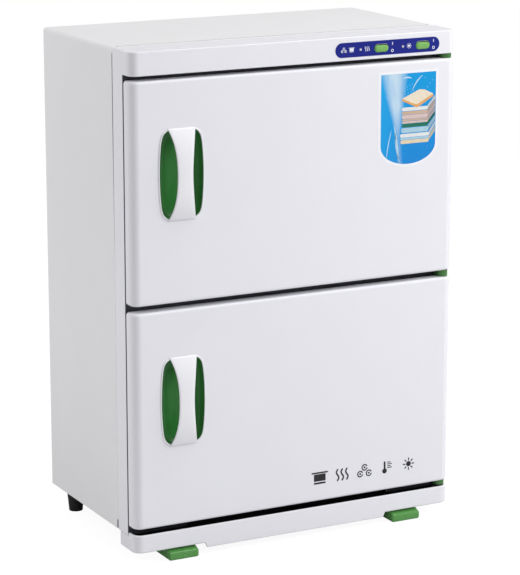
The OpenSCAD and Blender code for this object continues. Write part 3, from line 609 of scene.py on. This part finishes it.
def handle(body, node, cx, cz):
    """White strap with its rim, and the green bowl behind it."""
    mesh = joined(body + "_grip", [strap_mesh("strap", cx, cz), rim_mesh("rim", cx, cz)])
    smooth(mesh, 50)
    new_piece(body + "_grip", mesh, handle_white, body, [node])
    bowl = cup_mesh(body + "_grip_bowl", cx, cz)
    smooth(bowl, 60)
    new_piece(body + "_grip_bowl", bowl, cup_green, body, [node + "_cup"])


for side, (z0, z1) in {"upper": UPPER_Z, "lower": LOWER_Z}.items():
    grip_x, grip_z = middle(side + "_handle")
    door_shell(side + "_door", z0, z1, grip_x, grip_z)
    handle(side + "_door", side + "_handle", grip_x, grip_z)

# ---- moulded surround ----
SEAM_D, FRAME_D, FRAME_T = 50.0, 22.0, 3.0
FASCIA_BOTTOM, RING_BOTTOM = span("seal_plate")[1].z + 0.2, 34.0
FRAME_WALL, FRAME_FILLET = 2.5, 1.5
OPENING_HALF_W, DOOR_LAP = 194.0, 12.0
SLOT_HALF_W, SLOT_TOP = 146.5, 41.0
TONGUE_D, TONGUE_IN, TONGUE_T = (SEAM_D - 3, 66.0), 1.1, 2.4
HINGE_HALF_W, HINGE_GAP = 6.0, 0.3
HINGE_STEPS = [(UPPER_Z[1] + HINGE_GAP, FASCIA_BOTTOM - 0.2),
               (LOWER_Z[1] + HINGE_GAP, UPPER_Z[0] - HINGE_GAP), (40.0, LOWER_Z[0] - HINGE_GAP)]


def sides(x, d, z):
    """The same block on both sides of the middle, ready to add."""
    return [("UNION", block((s * x[0], s * x[1]), d, z)) for s in (-1, 1)]


def front_surround():
    """Fascia box with rounded edges on top of the ring round both door openings."""
    rows = fillet_rows(FRAME_FILLET, 4)
    levels = [(FASCIA_BOTTOM + h, i, 0.0) for h, i in rows]
    levels += [(TOP_Z - h, i, i) for h, i in reversed(rows)]
    fascia = loft("fascia", [[at(x, d, z) for x, d in front_plan(i, SEAM_D - back)]
                             for z, i, back in levels])
    hollow = upright("hollow", front_plan(FRAME_WALL, SEAM_D + 1), FASCIA_BOTTOM + FRAME_WALL,
                     TOP_Z - FRAME_WALL)
    ring_z = (RING_BOTTOM, FASCIA_BOTTOM + FRAME_WALL - 0.6)
    steps = [("DIFFERENCE", hollow),
             ("UNION", block((-HALF_W, HALF_W), (FRAME_D, FRAME_D + FRAME_T), ring_z))]
    steps += sides((HALF_W - FRAME_WALL, HALF_W), (FRAME_D, SEAM_D), ring_z)
    # Tongues that reach back under the casing's edge, at both sides and along the top
    outer, inner = HALF_W - TONGUE_IN, HALF_W - TONGUE_IN - TONGUE_T
    steps += sides((inner, outer), TONGUE_D, (RING_BOTTOM + 14, TOP_Z - 3.6))
    steps.append(("UNION", block((-inner, inner), TONGUE_D, (TOP_Z - TONGUE_IN - 3.5, TOP_Z - TONGUE_IN))))
    through = (FRAME_D - 1, FRAME_D + FRAME_T + 1)
    holes = [block((-OPENING_HALF_W, OPENING_HALF_W), through, (z0 + DOOR_LAP, z1 - DOOR_LAP))
             for z0, z1 in (UPPER_Z, LOWER_Z)]
    holes.append(block((-SLOT_HALF_W, SLOT_HALF_W), through, (RING_BOTTOM - 1, SLOT_TOP)))
    holes += [block((HINGE_X - HINGE_HALF_W, HINGE_X + HINGE_HALF_W), through, z) for z in HINGE_STEPS]
    outlines = [moved(pill(10.3, 5.4, 5.3), *middle(node)) for node in ("heat_rocker", "uv_rocker")]
    outlines += [circle((lo[0] + hi[0]) / 2, (lo[2] + hi[2]) / 2, 1.5, 20)
                 for lo, hi in solids("indicator_lamps")]
    holes += [prism("fascia_hole", outline, -1, FRAME_WALL + 1) for outline in outlines]
    mesh = combine(fascia, steps + [("DIFFERENCE", hole) for hole in holes])
    smooth(mesh, 30)
    level(new_piece("front_surround", mesh, plastic_white, "cabinet", ["front_frame"]))


front_surround()


# ---- drip tray ----
SILL_TOP, SILL_BOTTOM, LIP_BOTTOM = 38.0, 15.0, 9.0
TRAY_BACK, TRAY_WALL, TRAY_CORNER_R = 44.0, 2.5, 4.0
RIM_BOTTOM, RIM_BACK = 33.0, 20.2
LIP_HALF_W, LIP_TOP_HALF_W, LIP_T, LIP_FILLET = 127.0, 130.0, 3.0, 1.4
MAT_T, MAT_TOP, RIB_W, RIB_H, RIB_STEP = 1.0, 32.4, 1.6, 0.5, 4.6


def drip_tray():
    """Pull-out tray whose front wall is the sill under the lower door."""
    low = [(SILL_BOTTOM + h, i) for h, i in fillet_rows(2.2, 5)] + [(RIM_BOTTOM + 0.4, 0.0)]
    high = [(RIM_BOTTOM, 0.0)] + [(SILL_TOP - h, i) for h, i in reversed(fillet_rows(1.4, 4))]
    bowl = stacked("tray", front_plan, low, TRAY_BACK)
    rim = stacked("tray_rim", front_plan, high, RIM_BACK)
    hollow = upright("hollow", front_plan(TRAY_WALL, TRAY_BACK - TRAY_WALL), SILL_BOTTOM + TRAY_WALL,
                     SILL_TOP + 1)
    # The deeper lip between the feet, a little narrower at its foot
    section = arc(LIP_FILLET, LIP_BOTTOM + LIP_FILLET, LIP_FILLET, 180, 270, 4)
    section += [(LIP_T, LIP_BOTTOM), (LIP_T, SILL_BOTTOM + 1.5), (0.0, SILL_BOTTOM + 3.2)]
    slope = (LIP_TOP_HALF_W - LIP_HALF_W) / (SILL_BOTTOM - LIP_BOTTOM)
    lip = loft("tray_lip", [[at(s * (LIP_HALF_W + slope * (z - LIP_BOTTOM)), d, z) for d, z in section]
                            for s in (-1, 1)])
    corner = arc(TRAY_BACK - TRAY_CORNER_R, SILL_BOTTOM + TRAY_CORNER_R, TRAY_CORNER_R, -90, 0, 6)
    corner.append((TRAY_BACK + 1, SILL_BOTTOM - 1))
    steps = [("UNION", rim), ("DIFFERENCE", hollow), ("UNION", lip)]
    steps += sides((106, 118), (TRAY_BACK - 1, 100), (21, 25))
    steps += [("DIFFERENCE", crossways("corner", corner, s * (HALF_W - TRAY_WALL), s * (HALF_W + 1)))
              for s in (-1, 1)]
    mesh = combine(bowl, steps)
    smooth(mesh, 30)
    level(new_piece("drip_tray_moulding", mesh, plastic_white, "drip_tray", ["drip_tray"]))


def tray_mat():
    """Rubber mat with ribs across the tray floor, turned up at the back wall: its black, up the back wall
    too, is painted shade for the dark inside of the slot.
    """
    inset, back = TRAY_WALL + 0.4, TRAY_BACK - TRAY_WALL - 0.2
    floor, half_w = SILL_BOTTOM + TRAY_WALL, HALF_W - inset
    meshes = [upright("mat", front_plan(inset, back, 8), floor, floor + MAT_T),
              block((-half_w, half_w), (back - 1.5, back), (floor + MAT_T, MAT_TOP))]
    for k in range(7):
        section = [(8 + RIB_STEP * k + RIB_W / 2 * x, floor + MAT_T + RIB_H * z)
                   for x, z in arc(0, 0, 1, 0, 180, 6)]
        meshes.append(crossways("rib", section, 8 - half_w, half_w - 8))
    mesh = joined("tray_mat_ribbed", meshes)
    smooth(mesh, 40)
    new_piece("tray_mat_ribbed", mesh, mat_black_painted_shade, "drip_tray", ["tray_mat"])


drip_tray()
tray_mat()


# ---- front feet ----
# Side view of a foot: depth, height and radius of each corner
FOOT_PROFILE = [(-3, 0, 2.7), (82, 0, 1.5), (82, 34, 0.6), (51, 34, 0.6), (51, 14.2, 0.6), (9, 14.2, 6),
                (-3, 9.9, 3.2)]
FOOT_FILLET = 2.6


def rounded_outline(corners, inset=0.0, n=5):
    """Outline through corners (u, v, radius), moved inwards by inset, each corner an arc."""
    count = len(corners)
    points = [Vector(c[:2]) for c in corners]
    turn = 1 if signed_area([tuple(p) for p in points]) > 0 else -1
    lines = []
    for i, p in enumerate(points):
        along = (points[(i + 1) % count] - p).normalized()
        inward = Vector((-along.y, along.x)) * turn
        lines.append((p + inward * inset, along))
    outline = []
    for i in range(count):
        (p0, a0), (p1, a1) = lines[i - 1], lines[i]
        cross = a0.x * a1.y - a0.y * a1.x
        gap = p1 - p0
        corner = p0 + a0 * ((gap.x * a1.y - gap.y * a1.x) / cross)
        convex = cross * turn > 0
        r = max(0.15, corners[i][2] - inset) if convex else corners[i][2] + inset
        half = math.acos(max(-1.0, min(1.0, -a0.dot(a1)))) / 2
        centre = corner + (a1 - a0).normalized() * (r / math.sin(half))
        reach = r / math.tan(half)
        start = corner - a0 * reach - centre
        sweep = (math.pi - 2 * half) * (1 if cross > 0 else -1)
        for k in range(n + 1):
            c, s = math.cos(sweep * k / n), math.sin(sweep * k / n)
            outline.append((centre.x + start.x * c - start.y * s, centre.y + start.x * s + start.y * c))
    return outline


def signed_area(points):
    return sum(a[0] * b[1] - b[0] * a[1] for a, b in zip(points, points[1:] + points[:1])) / 2


def front_feet():
    """Green toe blocks with large rounded edges and a sloped top."""
    rows = fillet_rows(FOOT_FILLET, 6)
    meshes = []
    for lo, hi in solids("front_feet"):
        stations = [(lo[0] + h, i) for h, i in rows] + [(hi[0] - h, i) for h, i in reversed(rows)]
        meshes.append(loft("foot", [[at(x, d, z) for d, z in rounded_outline(FOOT_PROFILE, i)]
                                    for x, i in stations]))
    mesh = joined("front_feet_moulded", meshes)
    smooth(mesh, 40)
    level(new_piece("front_feet_moulded", mesh, plastic_green, "cabinet", ["front_feet"]))


front_feet()


# ---- rockers ----
BUTTON_HALF_W, BUTTON_HALF_H, BUTTON_TOP, BUTTON_FILLET = 10.0, 4.5, 6.2, 2.4
PIVOT_D, AXLE_R, AXLE_HALF_W, OFF_TILT = 4.5, 1.0, 11.8, math.radians(6)


def rocker(node):
    """Crowned rocker button, its web and its axle, tilted to the off position."""
    mid_x, mid_z = middle(node)
    c, s = math.cos(OFF_TILT), math.sin(OFF_TILT)

    def place(u, depth, v):
        return at(mid_x + u, PIVOT_D + depth * c - v * s, mid_z + depth * s + v * c)

    levels = [(-1.0, 0.0), (-3.2, 0.0)]
    levels += [(h - BUTTON_TOP, i) for h, i in reversed(fillet_rows(BUTTON_FILLET, 8))]
    levels += [(-BUTTON_TOP - 0.3 * (1 - (1 - k / 5) ** 2), BUTTON_FILLET + 0.36 * k) for k in range(1, 6)]
    cap = loft("cap", [[place(u, d, v) for u, v in pill(BUTTON_HALF_W - i, BUTTON_HALF_H - i,
                                                        (BUTTON_HALF_H - i) * 0.96)] for d, i in levels])
    web = loft("web", [[place(u, d, v) for u, v in pill(4, 1.5, 0.3, 2)] for d in (-2.0, 4.0)])
    axle = loft("axle", [[place(u, d, v) for d, v in circle(0, 0, AXLE_R, 20)]
                         for u in (-AXLE_HALF_W, AXLE_HALF_W)])
    mesh = joined(node + "_button", [cap, web, axle])
    smooth(mesh, 45)
    new_piece(node + "_button", mesh, button_green, node, [node])


for node in ("heat_rocker", "uv_rocker"):
    rocker(node)


# ---- screws ----
def screw_mesh(head_r, head_h, shank_r, shank_len, sunk=False):
    """Cross-recessed screw standing on the origin: head above z = 0, shank below."""
    rim = 0.35 * head_h
    if sunk:
        rings = [(-shank_len, shank_r), (-0.9 * head_h, shank_r), (-0.1, head_r), (0.0, head_r * 0.97)]
    else:
        rings = [(-shank_len, shank_r), (0.0, shank_r), (0.0, head_r * 0.97), (rim, head_r)]
        rings += [(rim + (head_h - rim) * math.sin(math.radians(a)),
                   head_r * (1 - 0.45 * (1 - math.cos(math.radians(a))))) for a in (20, 40, 60, 80)]
    body = loft("screw", [[Vector((x, y, z)) * MM for x, y in circle(0, 0, r, 24)] for z, r in rings])
    top, reach, wide = rings[-1][0], 0.62 * head_r, 0.17 * head_r
    ends = ((top + 0.5, 1.0), (top - 0.75 * max(head_h, 1.2), 0.62))
    arms = []
    for a, b in ((reach, wide), (wide, reach)):
        corners = ((-a, -b), (a, -b), (a, b), (-a, b))
        arms.append(loft("arm", [[Vector((x * k, y * k, z)) * MM for x, y in corners] for z, k in ends]))
    mesh = cut(body, arms)
    smooth(mesh, 40)
    return mesh


def screws(node, piece, mesh, direction, seat, material=screw_steel):
    """A screw at each solid of the node: direction is its head's way, seat the head's foot."""
    turn = Vector((0, 0, 1)).rotation_difference(Vector(direction)).to_matrix().to_4x4()
    copies = []
    for k, (lo, hi) in enumerate(solids(node)):
        place = Vector([(lo[i] + hi[i]) / 2 for i in range(3)])
        axis = max(range(3), key=lambda i: abs(direction[i]))
        place[axis] = (hi if direction[axis] > 0 else lo)[axis] - seat * direction[axis]
        copy = mesh.copy()
        copy.transform(Matrix.Translation(place * MM) @ turn @ Matrix.Rotation(0.35 + 0.9 * k, 4, "Z"))
        copies.append(copy)
    new_piece(piece, joined(piece, copies), material, "cabinet", [node])


screws("casing_screws", "casing_screw_heads", screw_mesh(2.2, 0.9, 1.5, 5.9), (0, 0, 1), 0.9, recess_shade_steel)
screws("back_panel_screws", "back_panel_screw_heads", screw_mesh(3.0, 1.8, 1.25, 7.7), (0, 1, 0), 1.8)
screws("hinge_screws", "hinge_screw_heads", screw_mesh(3.0, 1.4, 1.5, 9.0, True), (0, -1, 0), 0.0)
screws("foot_screws", "foot_screw_heads", screw_mesh(3.6, 2.4, 1.9, 19.0), (0, 0, 1), 2.4)


# ---- UV lamp ----
CAP_W = 11.4


def uv_lamp():
    """Glass tube that narrows into metal end caps."""
    lo, hi = span("uv_lamp")
    y, z, r = (lo.y + hi.y) / 2, (lo.z + hi.z) / 2, (hi.z - lo.z) / 2
    rings = [(lo.x, r - 0.8), (lo.x + 0.5, r - 0.3), (lo.x + 11, r - 0.3), (lo.x + CAP_W, r - 0.7),
             (lo.x + 12, r - 0.9), (lo.x + 13.5, r - 0.2), (lo.x + 15, r)]
    rings += [(lo.x + hi.x - x, q) for x, q in reversed(rings)]
    mesh = loft("lamp", [[Vector((x, y + u, z + v)) * MM for u, v in circle(0, 0, q, 40)]
                         for x, q in rings])
    smooth(mesh, 40)
    new_piece("uv_lamp_tube", mesh, lamp_glass, "cabinet", ["uv_lamp"])
    mesh.materials.append(stainless)
    for face in mesh.polygons:
        face.material_index = int(abs(face.center.x / MM) > hi.x - CAP_W - 0.4)


uv_lamp()


# ---- printing ----
def flat_print(name, shapes, d0, d1, material, body, replaces=()):
    """Printed shapes, closed outlines in (x, z), as thin solids between two depths."""
    mesh = joined(name, [prism("print", outline, d0, d1) for outline in shapes])
    new_piece(name, mesh, material, body, replaces)


def bar(x0, x1, z0, z1, r):
    """Rectangle with small round corners."""
    a, b = (x1 - x0) / 2, (z1 - z0) / 2
    return moved(pill(a, b, r, 3), x0 + a, z0 + b)


def beside(points, i, half_w):
    """Points half a width to the left and to the right of point i of a line."""
    (ax, az), (bx, bz) = points[max(i - 1, 0)], points[min(i + 1, len(points) - 1)]
    scale = half_w / math.hypot(bx - ax, bz - az)
    nx, nz = (az - bz) * scale, (bx - ax) * scale
    x, z = points[i]
    return (x + nx, z + nz), (x - nx, z - nz)


def ribbon(points, width):
    """Outline of a stroke of even width along a line of points, with round ends."""
    left, right = map(list, zip(*(beside(points, i, width / 2) for i in range(len(points)))))

    def cap(p, q):
        start = math.degrees(math.atan2(p[1] - q[1], p[0] - q[0]))
        return arc((p[0] + q[0]) / 2, (p[1] + q[1]) / 2, width / 2, start, start - 180, 6)[1:-1]

    return left + cap(left[-1], right[-1]) + right[::-1] + cap(right[0], left[0])


def wave(x, half_h, swing, width, n=16):
    """Upright wave of one period."""
    turns = [(2 * i / n - 1) for i in range(n + 1)]
    return ribbon([(x + swing * math.sin(math.pi * (t + 1)), half_h * t) for t in turns], width)


def ring_arc(cx, cz, r, width, a0, a1, n=24):
    """Part of a ring."""
    return arc(cx, cz, r + width / 2, a0, a1, n) + arc(cx, cz, r - width / 2, a1, a0, n)


def heat_icon():
    """Three rising waves."""
    return [wave(dx, 7.2, 1.7, 2.1) for dx in (-6.8, 0, 6.8)]


def towel_icon():
    """Towel with a border, hanging over a rail."""
    return [bar(-12, 12, 6.0, 8.0, 1.0), bar(-8.5, 8.5, -4.2, 5.2, 0.6), bar(-8.5, 8.5, -8, -5.6, 0.6)]


def roll_icon():
    """Three rolled towels."""
    out = []
    for cx, cz in ((-6.4, -3.6), (6.4, -3.6), (0, 4.6)):
        out += [ring_arc(cx, cz, 3.7, 1.6, 20, 350), circle(cx, cz, 1.4, 16)]
    return out


def thermometer_icon():
    """Tube with a bulb and graduations."""
    return [ribbon([(-3, -0.8), (-3, 7)], 2.6), circle(-3, -4.6, 3.4, 24)] + [
        bar(1, 6 if i % 2 else 8, -1.2 + i * 2.4, -0.1 + i * 2.4, 0.3) for i in range(4)]


def sun_icon():
    """Disc with rays."""
    rays = []
    for i in range(8):
        c, s = math.cos(math.pi * i / 4), math.sin(math.pi * i / 4)
        rays.append(ribbon([(5.2 * c, 5.2 * s), (7.8 * c, 7.8 * s)], 1.5))
    return [circle(0, 0, 3.5, 24)] + rays


def pictograms():
    """Strip of plain pictograms low on the lower door."""
    icons = [towel_icon(), heat_icon(), roll_icon(), thermometer_icon(), sun_icon()]
    shapes = []
    for (lo, hi), icon in zip(solids("door_marking"), icons):
        shapes += [moved(outline, (lo[0] + hi[0]) / 2, (lo[2] + hi[2]) / 2) for outline in icon]
    flat_print("lower_door_pictograms", shapes, -0.14, 0.0, print_black, "lower_door", ["door_marking"])


def label_signs():
    """White marks on the control label: small pictures, and on and off signs by the rockers."""
    corner = span("control_label")[0]
    front, z = corner.y - FRONT, middle("control_label")[1]
    heat_x, uv_x = middle("heat_rocker")[0], middle("uv_rocker")[0]
    signs = []
    for x in (heat_x, uv_x):
        signs += [bar(x + 15.2, x + 16.2, z + 2.6, z + 6.2, 0.3),
                  ring_arc(x + 15.7, z - 4.4, 1.5, 0.8, 0, 352, 20)]
    for x, scale, icon in ((corner.x + 12, 0.38, roll_icon()), (corner.x + 23, 0.34, towel_icon()),
                           (heat_x - 20.5, 0.36, heat_icon()), (uv_x - 20.0, 0.42, sun_icon())):
        signs += [moved(outline, x, z, scale) for outline in icon]
    flat_print("label_signs", signs, front - 0.05, front, print_white, "cabinet")


# ---- picture label ----
def picture_blue():
    """Blue that pales into a soft stream of light down its left side."""
    s = Shade("picture_blue_ink", (0.0, 0.27, 0.70), 0.24)
    lo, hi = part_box("door_sticker")
    split = s.node("ShaderNodeSeparateXYZ", Vector=s.coords)
    across = s.remap(split.outputs["X"], 0.0, 1.0, lo.x, hi.x)
    height = s.remap(split.outputs["Z"], 0.0, 1.0, lo.z, hi.z)
    sky = s.blend(height, (0.0, 0.23, 0.66), (0.0, 0.33, 0.72))
    sky = s.blend(s.remap(across, 0.55, 0.0, 0.0, 0.5), sky, (0.01, 0.42, 0.85))
    # The stream: centred on a line that leans right as it falls, wide at the top
    centre = s.calc("MULTIPLY_ADD", height, -0.12, 0.37)
    offset = s.calc("ABSOLUTE", s.calc("SUBTRACT", across, centre))
    ratio = s.calc("DIVIDE", offset, s.remap(height, 0.04, 0.20, 0.35, 1.0))
    body = s.remap(ratio, 0.95, 0.0, 0.35, 1.25)
    fade = s.remap(height, 0.25, 1.0, 0.30, 0.62)
    wisps = s.remap(s.noise(60, 6, 0.6, (1.0, 1.0, 0.16), 1.2), 0.72, 1.0, 0.35, 0.6)
    amount = s.calc("MULTIPLY", s.calc("MULTIPLY", body, fade), wisps)
    s.tint(s.blend(amount, sky, (0.62, 0.76, 0.86)))
    return s.gloss(0.04, 60).bump(s.noise(1500, 2), 0.00001, 0.5).mat


def ink(name, color):
    return Shade(f"picture_{name}_ink", color, 0.3).mottle(0.08, 160, 4).gloss(0.04, 90).mat


def curve(start, pull, end, n=12):
    """Quadratic curve that leaves start towards pull and arrives at end."""
    points = []
    for t in (i / n for i in range(n + 1)):
        parts = ((1 - t) ** 2, 2 * t * (1 - t), t * t)
        points.append(tuple(sum(k * p[j] for k, p in zip(parts, (start, pull, end))) for j in (0, 1)))
    return points


def swoosh(line, width):
    """Stroke that tapers at both ends."""
    last = len(line) - 1
    left, right = zip(*(beside(line, i, width / 2 * math.sin(math.pi * i / last) ** 0.7)
                        for i in range(1, last)))
    return [line[0], *left, line[-1], *right[::-1]]


def picture_label():
    """Sticker with a white border and a plain picture of a pile of folded towels."""
    lo, hi = span("door_sticker")
    cx, half, arch, border = (lo.x + hi.x) / 2, (hi.x - lo.x) / 2, 28.0, 3.4
    left, top, wide, tall = cx - half + border, hi.z - border, 2 * (half - border), hi.z - lo.z - 2 * border

    def shape(inset):
        """Outline with a square top and a half-round foot."""
        a, b = half - inset, arch - inset
        turns = [math.radians(t) for t in range(180, 361, 6)]
        return [(cx + a, hi.z - inset), (cx - a, hi.z - inset)] + [
            (cx + a * math.cos(t), lo.z + arch + b * math.sin(t)) for t in turns]

    def spot(u, v):
        """Point of the picture from its left and top, each from 0 to 1."""
        return left + u * wide, top - v * tall

    def printed(name, shapes, front, back, material):
        flat_print(f"picture_{name}", shapes, front, back, material, "upper_door")

    flat_print("picture_label_film", [shape(0)], -0.05, 0.0, sticker_film, "upper_door", ["door_sticker"])
    printed("label_ground", [shape(border)], -0.08, -0.05, picture_blue())

    strokes = (((0.40, 0.06), (0.46, 0.03), (0.56, 0.06), 2.0),
               ((0.56, 0.20), (0.64, 0.08), (0.76, 0.03), 1.6),
               ((0.24, 0.55), (0.30, 0.75), (0.33, 0.975), 2.6),
               ((0.20, 0.60), (0.12, 0.80), (0.11, 0.93), 1.3),
               ((0.28, 0.62), (0.24, 0.80), (0.36, 0.99), 1.2))
    light = [swoosh(curve(spot(*a), spot(*pull), spot(*b)), width) for a, pull, b, width in strokes]
    light += [circle(*spot(0.42 + 0.05 * i + 0.012 * j, 0.16 + 0.034 * j - 0.012 * i), 0.42, 8)
              for i in range(4) for j in range(4)]
    light += [circle(*spot(0.80 + 0.045 * i, 0.06 + 0.035 * ((3 * i) % 4)), 0.5, 8) for i in range(4)]
    printed("label_light", light, -0.10, -0.08, ink("pale", (0.50, 0.73, 0.88)))

    # Pile of towels: each layer has a front face and a right face that runs back up the picture
    u0, u1, back_u, back_v = 0.40, 0.84, 0.15, -0.115

    def layer(v0, v1, grow):
        """Front and right faces of a layer, its front wider by grow at each end."""
        u_left, u_right, thick = u0 - grow, u1 + grow, v1 - v0
        ends = [(0.02 * math.sin(math.pi * k / 6), thick * k / 6) for k in range(1, 6)]
        front = [spot(u_left, v0), spot(u_right, v0)] + [spot(u_right + u, v0 + v) for u, v in ends]
        front += [spot(u_right, v1), spot(u_left, v1)] + [spot(u_left - u, v1 - v) for u, v in ends]
        side = [spot(u_right, v0), spot(u1 + back_u, v0 + back_v),
                spot(u1 + back_u, v1 + back_v - thick / 10), spot(u_right, v1)]
        return front, side

    piles = {
        "cream": ((0.80, 0.66, 0.46), [(0.735, 0.775, 0.02)]),
        "white": ((0.78, 0.80, 0.80), [(0.665, 0.705, 0.03), (0.375, 0.415, 0.0)]),
        "sky": ((0.40, 0.62, 0.74), [(0.600, 0.655, 0.01), (0.708, 0.732, 0.03)]),
        "green": ((0.012, 0.17, 0.10), [(0.555, 0.595, 0.0)]),
        "sand": ((0.62, 0.44, 0.31), [(0.420, 0.455, 0.0), (0.505, 0.525, 0.0)]),
        "rose": ((0.70, 0.54, 0.50), [(0.458, 0.502, 0.0), (0.528, 0.552, 0.0)]),
    }
    for label, (color, bands) in piles.items():
        fronts, right_faces = zip(*(layer(*band) for band in bands))
        printed(f"towels_{label}", fronts, -0.14, -0.10, ink(label, color))
        printed(f"towel_sides_{label}", right_faces, -0.13, -0.10,
                ink(f"{label}_shade", tuple(0.72 * c for c in color)))

    # The folded towel on top
    upper = [(0.385, 0.275), (0.70, 0.185), (0.80, 0.195), (0.95, 0.245), (0.67, 0.345), (0.62, 0.345)]
    under = [(0.385, 0.275), (0.64, 0.335), (0.95, 0.245), (0.95, 0.275), (0.66, 0.385), (0.385, 0.300)]
    printed("top_towel", [[spot(*p) for p in upper]], -0.18, -0.10, ink("top", (0.86, 0.76, 0.60)))
    printed("top_fold", [[spot(*p) for p in under]], -0.16, -0.10, ink("fold", (0.78, 0.40, 0.14)))


pictograms()
label_signs()
picture_label()

# ---- softened CAD surfaces ----
# Each edge width, in millimetres, with the CAD nodes that have it
SOFTENED = {
    0.5: "outer_casing rear_feet hinge_brackets cord_gland switch_housings",
    0.6: "upper_chamber lower_chamber upper_door_liner lower_door_liner",
    0.4: "upper_heating_mat lower_heating_mat insulation upper_door_foam lower_door_foam",
    0.25: "seal_plate base_plate back_panel upper_drip_pan lower_drip_pan upper_shelf_rails"
          " lower_shelf_rails tray_guides uv_ballast terminal_block uv_lamp_sockets thermostats"
          " thermal_fuses upper_door_gasket lower_door_gasket upper_door_magnets lower_door_magnets"
          " catch_plates upper_door_bushes lower_door_bushes indicator_lamps hinge_pins seam_strips",
    0.12: "control_label",
}
for width, names in SOFTENED.items():
    for name in names.split():
        soften(name, width)


# ---- stage ----
WHITE_SHARE, WHITE_STRENGTH, WORLD_STRENGTH = 0.8, 1.16, 0.565
FLOOR_HALF = 30.0


def seen_white(tree, shader_socket, out_socket):
    """Rays straight from the camera see the shader largely covered by plain white."""
    path = tree.nodes.new("ShaderNodeLightPath")
    white = tree.nodes.new("ShaderNodeEmission")
    white.inputs["Strength"].default_value = WHITE_STRENGTH
    mix = tree.nodes.new("ShaderNodeMixShader")
    share = tree.nodes.new("ShaderNodeMath")
    share.operation = "MULTIPLY"
    share.inputs[1].default_value = WHITE_SHARE
    tree.links.new(path.outputs["Is Camera Ray"], share.inputs[0])
    tree.links.new(share.outputs[0], mix.inputs["Fac"])
    tree.links.new(shader_socket, mix.inputs[1])
    tree.links.new(white.outputs[0], mix.inputs[2])
    tree.links.new(mix.outputs[0], out_socket)


studio = Shade("studio_floor", (0.66, 0.66, 0.665), 0.6, Specular_IOR_Level=0.2).mottle(0.01, 2)
seen_white(studio.tree, studio.bsdf.outputs[0], studio.tree.nodes["Material Output"].inputs["Surface"])
floor_mesh = bpy.data.meshes.new("studio_floor")
corners = [(-FLOOR_HALF, -FLOOR_HALF, 0), (FLOOR_HALF, -FLOOR_HALF, 0), (FLOOR_HALF, FLOOR_HALF, 0),
           (-FLOOR_HALF, FLOOR_HALF, 0)]
floor_mesh.from_pydata(corners, [], [(0, 1, 2, 3)])
floor_mesh.materials.append(studio.mat)
floor = bpy.data.objects.new("studio_floor", floor_mesh)
bpy.context.scene.collection.objects.link(floor)

world = bpy.data.worlds.new("studio")
world.use_nodes = True
sky = world.node_tree.nodes["Background"]
sky.inputs["Color"].default_value = (1, 1, 1, 1)
sky.inputs["Strength"].default_value = WORLD_STRENGTH
seen_white(world.node_tree, sky.outputs[0], world.node_tree.nodes["World Output"].inputs["Surface"])
bpy.context.scene.world = world
bpy.context.scene.view_settings.view_transform = "Standard"


def softbox(name, place, target, size, power, mirrored=False):
    """Rectangular lamp turned to a target, seen in glossy reflections only if mirrored."""
    light = bpy.data.lights.new(name, "AREA")
    light.shape = "RECTANGLE"
    light.size, light.size_y = size
    light.energy = power
    obj = bpy.data.objects.new(name, light)
    bpy.context.scene.collection.objects.link(obj)
    obj.location = place
    obj.rotation_euler = (Vector(target) - Vector(place)).to_track_quat("-Z", "Y").to_euler()
    obj.visible_glossy = mirrored


softbox("key_light", (1.45, -1.35, 1.45), (0, 0, 0.35), (0.9, 0.9), 26)
softbox("left_light", (-1.5, 1.1, 1.3), (0, 0, 0.4), (0.9, 0.9), 13.5)
softbox("top_light", (0.8, -0.6, 2.3), (0, 0, 0.6), (0.9, 0.7), 9.5, mirrored=True)
